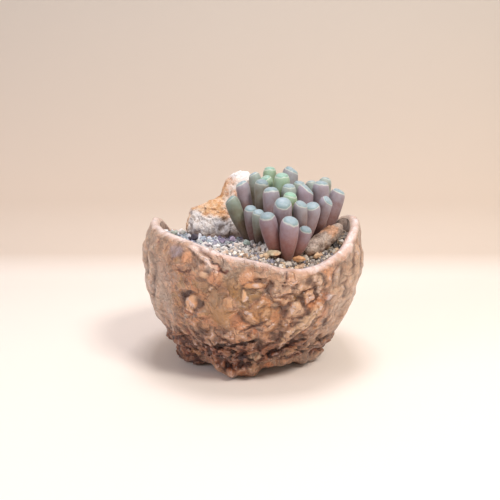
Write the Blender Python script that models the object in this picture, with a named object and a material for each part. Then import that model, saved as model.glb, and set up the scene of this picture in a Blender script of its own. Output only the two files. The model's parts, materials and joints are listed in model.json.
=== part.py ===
"""Baby toes, a clump of seven heads and a hidden one, in a hand-built stoneware pot.

The pot stands on five low feet and is filled with soil under a layer of grit. A pitted rock
lies behind the plant on the left, and a long pebble leans in the grit on its right.
Metres, +Z up. The origin is under the pot's middle, on the surface that it stands on, and
the front of the pot faces -Y.
"""
import math

import bmesh
import bpy
import numpy as np
from mathutils import Matrix, Vector, noise

MM = 0.001
GAP = 0.3 * MM
WALL_GAP = 0.5 * MM

# Pot: (height, radius) of the outside before it is made lumpy
POT_PROFILE = (
    (0, 29.0), (4, 32.0), (9, 34.9), (16, 38.6), (25, 42.5), (35, 45.6), (44, 46.9),
    (50, 46.9), (56, 45.8), (62, 44.2), (66, 42.8),
)
# How far the pot leans to +X at each height: the foot of its right side is drawn in, and its
# right horn stands more upright than the left one
POT_LEAN = ((0, -1.2), (6, -1.1), (16, -0.6), (28, -0.2), (40, 0.4), (52, 0.6), (64, 1.2))
# (azimuth, height) of the rim's crest: two horns, a low lip in front and a low back
RIM_CREST = (
    (-180, 62.3), (-165, 62.0), (-145, 60.8), (-126, 59.1), (-104, 55.2), (-88, 52.8), (-76, 50.2),
    (-66, 49.3), (-52, 50.9), (-36, 54.8), (-26, 58.7), (-12, 61.8), (-2, 63.4), (14, 62.4), (30, 58.0),
    (55, 53.4), (85, 51.2), (115, 50.6), (140, 52.2), (154, 54.8), (168, 60.4),
)
RIM_THICKNESS = 5.4 * MM
HORN_THICKNESS = 4.0 * MM
HORN_FROM = 54.0 * MM
HORN_TO = 62.0 * MM
# (height, radius) of the inside, which is smooth, up to where the rim's own inner side begins
POT_INSIDE = ((9.5, 24.5), (13.0, 29.5), (24.0, 36.0), (38.0, 40.2), (43.5, 41.3))
UNDERSIDE = 3.2 * MM
FOOT_INNER_RADIUS = 22.5 * MM
FOOT_AZIMUTHS = (-160, -100, -22, 45, 131)
FOOT_FLAT_HALF_ANGLE = 11.0
FOOT_HALF_ANGLE = 22.0
# The wall is drawn in between the feet, up to this height
DRAWN_IN = 3.4 * MM
DRAWN_IN_TOP = 16.0 * MM
DRAIN_RADIUS = 4.0 * MM
POT_SIDES = 64
POT_ROWS = 17
RIM_ROWS = 4

# Lumps of the clay: size across and height
BROAD_LUMP = (21 * MM, 1.5 * MM)
KNUCKLE_LUMP = (10 * MM, 1.7 * MM)
CRAG_LUMP = (8 * MM, 3.0 * MM)
CRAG_TOP = 26 * MM
LUMP_SHIFT = (13.1, 4.7, 8.3)
# A slab of clay laps over the front: its edge runs down from the rim, (azimuth, height) to
# (azimuth, height), and the slab stands proud on the left of it
SLAB_TOP = (-127, 59)
SLAB_BOTTOM = (-104, 48)
SLAB_PROUD = 1.1 * MM

# Soil and grit
GRIT_MIDDLE = 54.2 * MM
GRIT_RADIUS = 41.0 * MM
GRIT_DEPTH = 6.0 * MM
# The grit is nearly level in the middle and falls or climbs to the wall by this power
GRIT_FALL = 3.4
# (azimuth, height) of the grit where it meets the pot
GRIT_EDGE = (
    (-180, 56.4), (-150, 57.3), (-135, 57.0), (-117, 55.0), (-104, 53.7), (-88, 51.6), (-76, 49.2),
    (-66, 48.2), (-52, 48.9), (-36, 50.6), (-25, 52.6), (-12, 55.2), (5, 56.4), (25, 55.6), (60, 51.6),
    (90, 49.6), (120, 49.2), (150, 52.4),
)
FILLING_SIDES = 32
FILLING_RINGS = (0.30, 0.55, 0.76, 0.90, 1.0)
GRAIN_COUNT = 165
GRAIN_SPACING = 4.3 * MM
GRAIN_SIZES = (1.5 * MM, 2.5 * MM)
GRAIN_SUNK = 0.35
GRAIN_REACH = 1.4
GRAIN_SEED = 7

# Rock: (centre), (half sizes) of the lumps that it is made of, and where it was split flat
ROCK_HEART = (-11.0, 9.5, 60.0)
ROCK_LUMPS = (
    ((-17.2, 9.5, 56.6), (14.2, 12.0, 10.8)),
    ((-5.2, 14.0, 66.0), (9.6, 10.0, 15.6)),
    ((-13.0, 11.5, 61.0), (8.6, 9.5, 9.0)),
    ((-10.5, 4.2, 55.0), (9.4, 8.5, 9.5)),
)
ROCK_BOTTOM = 51.0 * MM
ROCK_DENTS = (9.0 * MM, 2.2 * MM)
ROCK_PITS = (4.0 * MM, 0.9 * MM)
ROCK_SUBDIVISIONS = 4

# Pebble: its two ends, and its half width and half thickness
PEBBLE_LOW_END = (20.8, -28.2, 51.8)
PEBBLE_HIGH_END = (37.0, -8.4, 59.6)
PEBBLE_HALF_WIDTH = 3.7 * MM
PEBBLE_HALF_THICKNESS = 3.2 * MM
PEBBLE_SUBDIVISIONS = 3

# Plant. Each head has a crown, (x, y) in the grit, and leaves: the leaf's tip (x, y, z), its
# tip's radius, and the way its window leans, (x, y)
HEADS = {
    "head_left": ((3.4, -9.8), (
        ((-5.0, -6.5, 72.5), 3.1, (-0.5, 0.1)),
        ((-2.6, -4.0, 78.6), 3.0, (-0.3, -0.2)),
        ((-1.3, -13.5, 69.0), 2.8, (0.1, -0.3)),
        ((1.0, -17.5, 68.0), 2.5, (0.1, -0.2)),
    )),
    "head_front": ((12.8, -27.2), (
        ((8.5, -29.0, 69.0), 3.3, (0.0, -0.2)),
        ((13.9, -35.4, 67.4), 3.6, (0.2, -0.2)),
        ((20.0, -31.0, 63.0), 2.8, (0.1, -0.2)),
    )),
    "head_middle": ((11.6, -18.2), (
        ((11.3, -26.0, 73.6), 3.6, (0.0, -0.4)),
        ((11.0, -18.0, 76.6), 3.5, (0.0, -0.1)),
        ((11.8, -20.4, 75.0), 3.0, (0.1, -0.2)),
        ((14.0, -14.2, 77.8), 3.0, (0.0, -0.2)),
    )),
    "head_back_left": ((6.2, -1.2), (
        ((3.2, 3.6, 81.2), 2.7, (-0.3, 0.1)),
        ((0.0, -5.5, 79.1), 3.2, (0.1, -0.2)),
        ((3.8, -0.2, 80.4), 3.0, (-0.3, -0.2)),
        ((6.0, 6.4, 83.8), 3.0, (0.0, -0.1)),
    )),
    "head_back": ((14.4, -6.6), (
        ((13.9, -9.0, 82.1), 3.4, (0.0, -0.2)),
        ((17.8, 1.0, 84.2), 3.5, (0.6, -0.2)),
        ((18.4, -1.5, 78.1), 2.5, (0.1, -0.2)),
    )),
    "head_right_front": ((20.7, -17.4), (
        ((22.0, -25.2, 72.1), 2.7, (0.4, -0.2)),
        ((30.0, -22.5, 71.1), 3.3, (-0.3, -0.3)),
        ((20.8, -13.0, 77.6), 3.5, (0.8, -0.2)),
    )),
    "head_right": ((26.4, -7.4), (
        ((32.7, -9.5, 79.2), 3.6, (0.1, 0.0)),
        ((33.8, 3.0, 77.7), 2.5, (0.1, 0.1)),
        ((32.6, -5.0, 74.9), 3.2, (0.2, -0.1)),
        ((35.0, -15.5, 73.1), 2.8, (0.7, -0.2)),
        ((25.7, 2.0, 78.1), 2.5, (0.0, 0.1)),
    )),
    "head_rear": ((17.6, 5.0), (
        ((11.6, 12.0, 79.6), 3.0, (-0.1, 0.2)),
        ((18.6, 14.0, 77.8), 3.1, (0.0, 0.3)),
        ((25.4, 10.6, 77.2), 2.9, (0.2, 0.2)),
        ((21.0, 6.4, 80.2), 2.7, (0.1, 0.1)),
    )),
}
# (share of the leaf's length from its base, share of the tip's radius), up to the shoulder
LEAF_TAPER = ((0.0, 0.58), (0.2, 0.67), (0.45, 0.83), (0.75, 0.97), (1.0, 1.0))
# (depth under the tip, radius), both as shares of the tip's radius: the window's dome
LEAF_DOME = ((0.0, 0.0), (0.10, 0.52), (0.46, 0.90), (1.35, 1.0))
LEAF_SIDES = 8
LEAF_BASE_OFFSET = 3.3 * MM
LEAF_BASE_DEPTH = 2.2 * MM
LEAF_CLEARANCE = 0.4 * MM
LEAF_BOW = 0.05
CROWN_RADIUS = 4.2 * MM
CROWN_DEPTH = 3.0 * MM
CROWN_HEIGHT = 2.2 * MM
ROOT_RADIUS = 1.7 * MM
ROOT_LENGTH = 13.0 * MM
WELL_RADIUS = 6.5 * MM
WELL_MOUTH_RADIUS = 9.2 * MM
WELL_ABOVE = 3.0 * MM
HOLE_SIDES = 16


def smooth(points, position, period=None):
    """The value at a position on a smooth curve through (position, value) points."""
    points = list(points)
    if period:
        first, last = points[0], points[-1]
        points = [(last[0] - period, last[1])] + points + [(first[0] + period, first[1])]
        second = points[2]
        points.append((second[0] + period, second[1]))
        position = (position - first[0]) % period + first[0]
    index = 0
    while index < len(points) - 2 and position > points[index + 1][0]:
        index += 1
    (x0, y0), (x1, y1) = points[index], points[index + 1]
    before = points[max(index - 1, 0)]
    after = points[min(index + 2, len(points) - 1)]
    slope_in = (y1 - before[1]) / (x1 - before[0])
    slope_out = (after[1] - y0) / (after[0] - x0)
    span = x1 - x0
    t = min(max((position - x0) / span, 0.0), 1.0)
    return (
        (2 * t**3 - 3 * t**2 + 1) * y0 + (t**3 - 2 * t**2 + t) * span * slope_in
        + (3 * t**2 - 2 * t**3) * y1 + (t**3 - t**2) * span * slope_out
    )


def straight(points, position):
    """The value at a position on straight lines through (position, value) points."""
    return float(np.interp(position, [p[0] for p in points], [p[1] for p in points]))


def step(low, high, value):
    """0 below low, 1 above high, and a smooth rise between them."""
    t = min(max((value - low) / (high - low), 0.0), 1.0)
    return t * t * (3 - 2 * t)


def degrees_between(a, b):
    return abs((a - b + 180) % 360 - 180)


def polar(radius, azimuth, height):
    angle = math.radians(azimuth)
    return Vector((radius * math.cos(angle), radius * math.sin(angle), height))


# Pot

def footing(azimuth):
    """1 over a foot, 0 between the feet."""
    away = min(degrees_between(azimuth, foot) for foot in FOOT_AZIMUTHS)
    return 1 - step(FOOT_FLAT_HALF_ANGLE, FOOT_HALF_ANGLE, away)


def slab(azimuth, height):
    """How far the overlapping slab stands proud of the clay beside it."""
    across = (SLAB_BOTTOM[0] - SLAB_TOP[0], SLAB_BOTTOM[1] - SLAB_TOP[1])
    along = (height / MM - SLAB_TOP[1]) / across[1]
    edge = SLAB_TOP[0] + across[0] * along
    left_of_edge = step(0.0, 4.0, edge - azimuth) * (1 - step(18.0, 40.0, edge - azimuth))
    return SLAB_PROUD * left_of_edge * (1 - step(1.0, 1.5, along)) * step(-0.6, 0.0, along)


def clay_lumps(azimuth, height):
    """How far the outside stands out from its turned shape."""
    spot = polar(46 * MM, azimuth, height) + Vector(LUMP_SHIFT)
    size, rise = BROAD_LUMP
    out = rise * noise.noise(spot / size)
    size, rise = KNUCKLE_LUMP
    out += rise * noise.noise(spot / size)
    size, rise = CRAG_LUMP
    craggy = 1 - step(0.4 * CRAG_TOP, CRAG_TOP, height)
    out += rise * craggy * (noise.noise(Vector((spot.x, spot.y, 1.6 * spot.z)) / size) - 0.2)
    drawn_in = DRAWN_IN * (1 - footing(azimuth)) * (1 - step(UNDERSIDE, DRAWN_IN_TOP, height))
    return out + slab(azimuth, height) - drawn_in


def turned_radius(azimuth, height):
    lean = smooth(POT_LEAN, height / MM) * math.cos(math.radians(azimuth))
    return (smooth(POT_PROFILE, height / MM) + lean) * MM


def crest(azimuth):
    return smooth(RIM_CREST, azimuth, 360) * MM


def rim_thickness(azimuth):
    horn = step(HORN_FROM, HORN_TO, crest(azimuth))
    return RIM_THICKNESS + (HORN_THICKNESS - RIM_THICKNESS) * horn


def rim_seat(azimuth):
    """Radius and height of the centre of the rim's round."""
    half = rim_thickness(azimuth) / 2
    height = crest(azimuth) - half
    return turned_radius(azimuth, height) - half, height


def inside_section(azimuth):
    """(height, radius) of the inner wall, from the floor to the rim's round."""
    radius, height = rim_seat(azimuth)
    wall = [(z * MM, r * MM) for z, r in POT_INSIDE]
    return wall + [(height, radius - rim_thickness(azimuth) / 2)]


def inside_radius(azimuth, height):
    return straight(inside_section(azimuth), height)


def pot_section(azimuth):
    """(radius, height) round the whole section of the pot's wall and floor."""
    foot = footing(azimuth)
    bottom = UNDERSIDE * (1 - foot)
    half = rim_thickness(azimuth) / 2
    seat_radius, seat_height = rim_seat(azimuth)
    points = []
    for row in range(POT_ROWS):
        height = bottom + (seat_height - bottom) * row / (POT_ROWS - 1)
        fading = 1 - 0.6 * step(seat_height - 6 * MM, seat_height, height)
        out = clay_lumps(azimuth, height) * fading
        points.append((turned_radius(azimuth, height) + out, height))
    proud = points[-1][0] - seat_radius - half
    for row in range(1, RIM_ROWS):
        angle = math.pi * row / RIM_ROWS
        share = 1 - row / RIM_ROWS
        radius = seat_radius + half * math.cos(angle) + proud * share
        points.append((radius, seat_height + half * math.sin(angle)))
    for height, radius in reversed(inside_section(azimuth)):
        points.append((radius, height))
    floor = POT_INSIDE[0][0] * MM
    points += [(DRAIN_RADIUS, floor), (DRAIN_RADIUS, UNDERSIDE)]
    points.append((FOOT_INNER_RADIUS - 3 * MM, UNDERSIDE))
    points.append((FOOT_INNER_RADIUS, bottom))
    return points


def make_pot():
    builder = bmesh.new()
    rings = []
    for side in range(POT_SIDES):
        azimuth = 360 * side / POT_SIDES - 180
        ring = []
        for radius, height in pot_section(azimuth):
            ring.append(builder.verts.new(polar(radius, azimuth, height)))
        rings.append(ring)
    for side, ring in enumerate(rings):
        beside = rings[(side + 1) % POT_SIDES]
        for low in range(len(ring)):
            high = (low + 1) % len(ring)
            builder.faces.new((ring[low], beside[low], beside[high], ring[high]))
    return finished("pot", builder, "stoneware")


# Soil and grit

def grit_level(x, y):
    """Height of the grit at a place inside the pot."""
    azimuth = math.degrees(math.atan2(y, x))
    out = (math.hypot(x, y) / GRIT_RADIUS) ** GRIT_FALL
    edge = smooth(GRIT_EDGE, azimuth, 360) * MM
    return GRIT_MIDDLE + (edge - GRIT_MIDDLE) * out


def layer(azimuth, drop, seat):
    """Points from the middle out to the wall, on a surface that lies drop under the grit.

    seat is the depth under the grit at which the surface meets the pot's wall.
    """
    edge_height = grit_level(*polar(GRIT_RADIUS, azimuth, 0).xy) - seat
    edge = inside_radius(azimuth, edge_height) - WALL_GAP
    points = []
    for share in FILLING_RINGS:
        spot = polar(edge * share, azimuth, 0)
        spot.z = grit_level(spot.x, spot.y) - drop
        points.append(spot)
    return points


def filling(section):
    """A closed disc from the section that section(azimuth) gives, from its middle to its middle."""
    builder = bmesh.new()
    columns = []
    for side in range(FILLING_SIDES):
        spots = section(360 * side / FILLING_SIDES - 180)
        columns.append([builder.verts.new(spot) for spot in spots])
    for side, column in enumerate(columns):
        beside = columns[(side + 1) % FILLING_SIDES]
        for inner in range(len(column) - 1):
            builder.faces.new((column[inner], column[inner + 1], beside[inner + 1], beside[inner]))
    for end in (0, -1):
        heights = [column[end].co.z for column in columns]
        middle = builder.verts.new((0, 0, sum(heights) / len(heights)))
        for side, column in enumerate(columns):
            beside = columns[(side + 1) % FILLING_SIDES]
            builder.faces.new((column[end], beside[end], middle))
    return builder


def soil_section(azimuth):
    top = layer(azimuth, GRIT_DEPTH + GAP, GRIT_DEPTH)
    wall = [polar(radius * MM - WALL_GAP, azimuth, height * MM) for height, radius in POT_INSIDE[:-1]]
    wall[0].z += GAP
    return top + wall[::-1]


def make_soil():
    soil = finished("soil", filling(soil_section), "soil")
    for name in HEADS:
        cut_away(soil, root_hole(name))
    return soil


def grit_section(azimuth):
    return layer(azimuth, 0.0, 0.0) + layer(azimuth, GRIT_DEPTH, GRIT_DEPTH)[::-1]


def grain(centre, size, draws):
    """One chip of grit: a squashed lump with few faces, turned at random."""
    builder = bmesh.new()
    bmesh.ops.create_icosphere(builder, subdivisions=1, radius=1.0)
    stretch = Vector((draws.uniform(0.85, 1.25), draws.uniform(0.7, 1.0), draws.uniform(0.5, 0.8)))
    turn = Matrix.Rotation(draws.uniform(0, math.tau), 3, "Z")
    turn = turn @ Matrix.Rotation(draws.uniform(-0.5, 0.5), 3, "X")
    for vertex in builder.verts:
        rough = 1 + draws.uniform(-0.14, 0.14)
        vertex.co = turn @ (vertex.co * stretch * size * rough) + centre
    return builder


def low_leaf_discs(leaves):
    """Where the leaves pass just over the grit, as centres and radii."""
    discs = []
    for _, base, tip, tip_radius, _ in leaves:
        length = (tip - base).length
        for count in range(12):
            share = 0.04 * count
            spot = bowed(base, tip, share)
            if spot.z < grit_level(spot.x, spot.y) + WELL_ABOVE + MM:
                discs.append((spot.xy, leaf_radius(length * (1 - share), length, tip_radius)))
    return discs


def grain_spots(draws, leaves):
    """Places for the chips, clear of each other, of the plant and of the two stones."""
    spots = []
    tries = 0
    crowns = [Vector(crown) * MM for crown, _ in HEADS.values()]
    discs = low_leaf_discs(leaves)
    rock_places = [(Vector(centre) * MM, Vector(half) * MM) for centre, half in ROCK_LUMPS]
    low_end = Vector(PEBBLE_LOW_END) * MM
    high_end = Vector(PEBBLE_HIGH_END) * MM
    while len(spots) < GRAIN_COUNT and tries < 60 * GRAIN_COUNT:
        tries += 1
        size = draws.uniform(*GRAIN_SIZES)
        azimuth = draws.uniform(-180, 180)
        edge_height = grit_level(*polar(GRIT_RADIUS, azimuth, 0).xy)
        edge = inside_radius(azimuth, edge_height + size) - WALL_GAP - GRAIN_REACH * size
        spot = polar(math.sqrt(draws.uniform(0, 1)) * edge, azimuth, 0)
        if any((spot - other).length < GRAIN_SPACING for other, _ in spots):
            continue
        if any((spot.xy - crown).length < WELL_MOUTH_RADIUS for crown in crowns):
            continue
        clearance = GRAIN_REACH * size + GAP
        if any((spot.xy - disc).length < radius + clearance for disc, radius in discs):
            continue
        if any(
            math.hypot(
                (spot.x - centre.x) / (half.x + size), (spot.y - centre.y) / (half.y + size)
            ) < 1 for centre, half in rock_places
        ):
            continue
        along = (high_end - low_end).xy
        share = min(max((spot.xy - low_end.xy).dot(along) / along.dot(along), 0), 1)
        if (spot.xy - low_end.xy - along * share).length < PEBBLE_HALF_WIDTH + size:
            continue
        spots.append((spot, size))
    return spots


def make_grit(leaves):
    draws = np.random.default_rng(GRAIN_SEED)
    grit = finished("grit", filling(grit_section), "grit")
    chips = []
    for spot, size in grain_spots(draws, leaves):
        spot.z = grit_level(spot.x, spot.y) + size * (0.5 - GRAIN_SUNK)
        chips.append(finished("chip", grain(spot, size, draws), "grit"))
    join_on(grit, chips)
    cutters = [rock_solid("rock_bed", GAP), pebble_solid("pebble_bed", GAP)]
    for name in HEADS:
        cutters += [well(name), root_hole(name)]
    for cutter in cutters:
        cut_away(grit, cutter)
    keep_largest(grit)
    return grit


# Rock and pebble

def reach(heart, towards, centre, half):
    """Distance from heart, along the unit vector towards, to the far side of an ellipsoid."""
    start = Vector((heart[axis] - centre[axis]) / half[axis] for axis in range(3))
    heading = Vector(towards[axis] / half[axis] for axis in range(3))
    a = heading.dot(heading)
    b = start.dot(heading)
    c = start.dot(start) - 1
    return (math.sqrt(max(b * b - a * c, 0.0)) - b) / a


def rock_reach(towards):
    """Distance from the rock's heart to its skin: its lumps run together where they meet."""
    spans = [reach(ROCK_HEART, towards, centre, half) for centre, half in ROCK_LUMPS]
    return sum(span**8 for span in spans) ** (1 / 8) * 0.97 * MM


def rock_point(towards, grown=0.0):
    """A point on the rock's skin, or that far outside it."""
    distance = rock_reach(towards)
    spot = Vector(ROCK_HEART) * MM + towards * distance
    out = sum(rise * noise.noise(spot / size) for size, rise in (ROCK_DENTS, ROCK_PITS))
    spot += towards * (out + grown)
    spot.z = max(spot.z, ROCK_BOTTOM - grown)
    return spot


def rock_solid(name, grown=0.0, subdivisions=ROCK_SUBDIVISIONS):
    builder = bmesh.new()
    bmesh.ops.create_icosphere(builder, subdivisions=subdivisions, radius=1.0)
    for vertex in builder.verts:
        vertex.co = rock_point(vertex.co.normalized(), grown)
    return finished(name, builder, "rock")


def pebble_frame():
    """The pebble's middle, and its length, width and thickness directions as columns."""
    low = Vector(PEBBLE_LOW_END) * MM
    high = Vector(PEBBLE_HIGH_END) * MM
    along = (high - low).normalized()
    across = Vector((0, 0, 1)).cross(along).normalized()
    up = along.cross(across)
    turn = Matrix((along, across, up)).transposed()
    return (low + high) / 2, (high - low).length / 2, turn


def pebble_solid(name, grown=0.0):
    builder = bmesh.new()
    bmesh.ops.create_icosphere(builder, subdivisions=PEBBLE_SUBDIVISIONS, radius=1.0)
    middle, half_length, turn = pebble_frame()
    half = Vector((half_length, PEBBLE_HALF_WIDTH, PEBBLE_HALF_THICKNESS)) + Vector((grown,) * 3)
    for vertex in builder.verts:
        unit = vertex.co.normalized()
        blunt = sum(abs(part) ** 2.6 for part in unit) ** (-1 / 2.6)
        dented = 1 + 0.05 * noise.noise(unit * 1.7 + Vector((3.0, 1.0, 2.0)))
        vertex.co = middle + turn @ (unit * blunt * dented * half)
    return finished(name, builder, "pebble")


# Plant

def leaf_radius(depth, length, tip_radius):
    """Radius of a leaf at a depth under its tip."""
    depths = [(d * tip_radius, r * tip_radius) for d, r in LEAF_DOME]
    if depth < depths[-1][0]:
        return straight(depths, depth)
    shoulder = length - depths[-1][0]
    return smooth(LEAF_TAPER, (length - depth) / shoulder) * tip_radius


def bowed(base, tip, share):
    """A point on a leaf's middle line: it swings outwards first and then stands up."""
    lean = Vector((tip.x - base.x, tip.y - base.y, 0))
    bow = lean * 4 * share * (1 - share) * LEAF_BOW * 2
    return base.lerp(tip, share) + bow


def grown_leaves():
    """Every leaf as [head, base, tip, tip radius, window lean], pushed clear of the others.

    Leaves of one head part only above their bases, where they grow from the crown.
    """
    leaves = []
    for name, (crown, tips) in HEADS.items():
        root = Vector((crown[0], crown[1], 0)) * MM
        for tip, radius, lean in tips:
            tip = Vector(tip) * MM
            out = Vector((tip.x - root.x, tip.y - root.y, 0))
            base = root + out.normalized() * min(LEAF_BASE_OFFSET, 0.5 * out.length)
            base.z = grit_level(root.x, root.y) - LEAF_BASE_DEPTH
            leaves.append([name, base, tip, radius * MM, lean])
    shares = [0.0, 0.12, 0.24, 0.36, 0.48, 0.6, 0.7, 0.8, 0.88, 0.95]
    pebble = pebble_row()
    for _ in range(90):
        moves = [Vector((0, 0, 0)) for _ in leaves]
        rows = []
        for _, base, tip, radius, _ in leaves:
            length = (tip - base).length
            row = [bowed(base, tip, share) for share in shares]
            rows.append((row, [leaf_radius(length * (1 - share), length, radius) for share in shares]))
        for one in range(len(leaves)):
            for two in range(one + 1, len(leaves)):
                together = leaves[one][0] == leaves[two][0]
                worst = closest_pass(rows[one], rows[two], 4 if together else 0)
                if worst and worst[0] > 0:
                    overlap, away, at_one, at_two = worst
                    push = away * overlap * 0.5
                    push.z *= 0.3
                    moves[one] += push * (0.4 + shares[at_one])
                    moves[two] -= push * (0.4 + shares[at_two])
            overlap, away, at_one, _ = closest_pass(rows[one], pebble, 0)
            if overlap > 0:
                moves[one] += Vector((away.x, away.y, 0)) * overlap
                leaves[one][1] += Vector((away.x, away.y, 0)) * overlap * (1 - shares[at_one])
        for leaf, move in zip(leaves, moves):
            leaf[2] = leaf[2] + move
    return leaves


def pebble_row():
    """Spheres that fill the pebble, as their centres and their radii."""
    low = Vector(PEBBLE_LOW_END) * MM
    high = Vector(PEBBLE_HIGH_END) * MM
    shares = [count / 10 for count in range(1, 10)]
    swell = [(1 - abs(2 * share - 1) ** 2.6) ** (1 / 2.6) for share in shares]
    return [low.lerp(high, share) for share in shares], [PEBBLE_HALF_WIDTH * out for out in swell]


def closest_pass(first, second, lowest):
    """The deepest overlap of two leaves: its depth, the way apart, and where on each leaf."""
    worst = None
    for i in range(lowest, len(first[0])):
        for j in range(lowest, len(second[0])):
            apart = first[0][i] - second[0][j]
            distance = apart.length
            overlap = first[1][i] + second[1][j] + LEAF_CLEARANCE - distance
            if worst is None or overlap > worst[0]:
                worst = (overlap, apart / max(distance, 1e-6), i, j)
    return worst


def leaf_solid(base, tip, tip_radius, lean):
    """A club-shaped leaf with a domed window, closed at its base."""
    length = (tip - base).length
    dome = [d * tip_radius for d, _ in LEAF_DOME[1:]]
    depths = dome + [length * share for share in (0.48, 0.74, 1.0)]
    builder = bmesh.new()
    apex = builder.verts.new(tip)
    rings = []
    for depth in depths:
        share = 1 - depth / length
        centre = bowed(base, tip, share)
        along = (bowed(base, tip, min(share + 0.02, 1.0)) - bowed(base, tip, share - 0.02)).normalized()
        side = along.cross(Vector((0, 1, 0))).normalized()
        front = side.cross(along)
        near_tip = 1 - step(0, 2.2 * tip_radius, depth)
        tilt = Vector((lean[0], lean[1], 0)) * near_tip
        radius = leaf_radius(depth, length, tip_radius)
        ring = []
        for count in range(LEAF_SIDES):
            angle = math.tau * count / LEAF_SIDES
            spoke = (side * math.cos(angle) + front * math.sin(angle)) * radius
            ring.append(builder.verts.new(centre + spoke - along * max(tilt.dot(spoke), 0.0)))
        rings.append(ring)
    for count in range(LEAF_SIDES):
        after = (count + 1) % LEAF_SIDES
        builder.faces.new((apex, rings[0][count], rings[0][after]))
        for upper, lower in zip(rings, rings[1:]):
            builder.faces.new((upper[count], lower[count], lower[after], upper[after]))
    builder.faces.new(rings[-1])
    return finished("leaf", builder, "leaf")


def tapered_rod(name, centre, bottom, top, bottom_radius, top_radius, sides=HOLE_SIDES):
    """An upright rod or cone from height bottom to height top."""
    builder = bmesh.new()
    bmesh.ops.create_cone(
        builder, cap_ends=True, segments=sides, radius1=bottom_radius, radius2=top_radius,
        depth=top - bottom, matrix=Matrix.Translation((centre[0], centre[1], (bottom + top) / 2)),
    )
    return finished(name, builder, "leaf")


def crown_spot(name):
    crown = HEADS[name][0]
    return Vector((crown[0] * MM, crown[1] * MM, grit_level(crown[0] * MM, crown[1] * MM)))


def root_hole(name):
    """The plain hole that a head's root stands in."""
    spot = crown_spot(name)
    bottom = spot.z - CROWN_DEPTH - ROOT_LENGTH - GAP
    top = spot.z + MM
    radius = ROOT_RADIUS + GAP
    return tapered_rod("root_hole", spot, bottom, top, radius, radius)


def well(name):
    """The plain hollow in the grit that a head's crown and leaf bases stand in."""
    spot = crown_spot(name)
    bottom = spot.z - CROWN_DEPTH - GAP
    return tapered_rod("well", spot, bottom, spot.z + WELL_ABOVE, WELL_RADIUS, WELL_MOUTH_RADIUS)


def make_head(name, leaves):
    spot = crown_spot(name)
    bottom = spot.z - CROWN_DEPTH
    head = tapered_rod(name, spot, bottom, bottom + CROWN_HEIGHT, CROWN_RADIUS, 0.8 * CROWN_RADIUS, 10)
    root_bottom = bottom - ROOT_LENGTH
    pieces = [tapered_rod("root", spot, root_bottom, bottom + MM, 0.7 * ROOT_RADIUS, ROOT_RADIUS, 8)]
    for owner, base, tip, radius, lean in leaves:
        if owner == name:
            pieces.append(leaf_solid(base, tip, radius, lean))
    join_on(head, pieces)
    keep_largest(head)
    return head


# Making and joining solids

FINISHES = {
    "stoneware": ((0.43, 0.25, 0.16), 0.55),
    "soil": ((0.09, 0.06, 0.04), 0.9),
    "grit": ((0.36, 0.35, 0.36), 0.75),
    "rock": ((0.70, 0.50, 0.36), 0.8),
    "pebble": ((0.50, 0.36, 0.27), 0.7),
    "leaf": ((0.36, 0.30, 0.31), 0.45),
}


def finish_for(name):
    """The material of that name, made once."""
    material = bpy.data.materials.get(name)
    if material is None:
        colour, roughness = FINISHES[name]
        material = bpy.data.materials.new(name)
        material.use_nodes = True
        shader = material.node_tree.nodes["Principled BSDF"]
        shader.inputs["Base Color"].default_value = (*colour, 1)
        shader.inputs["Roughness"].default_value = roughness
    return material


def finished(name, builder, finish):
    """A new object from a bmesh, with its faces pointing out."""
    bmesh.ops.recalc_face_normals(builder, faces=builder.faces)
    mesh = bpy.data.meshes.new(name)
    builder.to_mesh(mesh)
    builder.free()
    mesh.materials.append(finish_for(finish))
    made = bpy.data.objects.new(name, mesh)
    bpy.context.scene.collection.objects.link(made)
    return made


def apply_boolean(target, operation, solver, others):
    """Apply one Boolean to target, with the objects of a collection, and drop them."""
    group = bpy.data.collections.new("joined")
    bpy.context.scene.collection.children.link(group)
    for other in others:
        group.objects.link(other)
    boolean = target.modifiers.new("boolean", "BOOLEAN")
    boolean.operation = operation
    boolean.solver = solver
    boolean.operand_type = "COLLECTION"
    boolean.collection = group
    view = bpy.context.evaluated_depsgraph_get()
    mesh = bpy.data.meshes.new_from_object(target.evaluated_get(view))
    target.modifiers.remove(boolean)
    old = target.data
    target.data = mesh
    bpy.data.meshes.remove(old)
    for other in others:
        bpy.data.objects.remove(other)
    bpy.data.collections.remove(group)


def join_on(target, others):
    apply_boolean(target, "UNION", "MANIFOLD", others)


def cut_away(target, cutter):
    apply_boolean(target, "DIFFERENCE", "MANIFOLD", [cutter])


def keep_largest(target):
    """Drop loose scraps that a Boolean left beside the main body."""
    builder = bmesh.new()
    builder.from_mesh(target.data)
    waiting = set(builder.verts)
    bodies = []
    while waiting:
        body = []
        edge = [waiting.pop()]
        while edge:
            vertex = edge.pop()
            body.append(vertex)
            for link in vertex.link_edges:
                other = link.other_vert(vertex)
                if other in waiting:
                    waiting.remove(other)
                    edge.append(other)
        bodies.append(body)
    bodies.sort(key=len)
    for body in bodies[:-1]:
        bmesh.ops.delete(builder, geom=body, context="VERTS")
    builder.to_mesh(target.data)
    builder.free()


def main():
    for old in list(bpy.data.objects):
        bpy.data.objects.remove(old)
    make_pot()
    make_soil()
    leaves = grown_leaves()
    make_grit(leaves)
    rock_solid("rock")
    pebble_solid("pebble")
    for name in HEADS:
        make_head(name, leaves)


main()
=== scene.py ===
"""Potted baby toes: the finish of every surface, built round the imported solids.

A clump of baby toes grows in a hand-built stoneware pot, in soil under a layer of grit, with a
pitted rock behind it and a long pebble beside it. Metres, +Z up, the front of the pot at -Y.
The shapes come from the same named values as the solids, with finer relief. Leaf tips stand up
to 3 mm from the solids' tips, to follow the real plant more closely.
"""

import json
import math
from functools import partial

import bmesh
import bpy
import numpy as np
from mathutils import Matrix, Vector, noise

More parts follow.
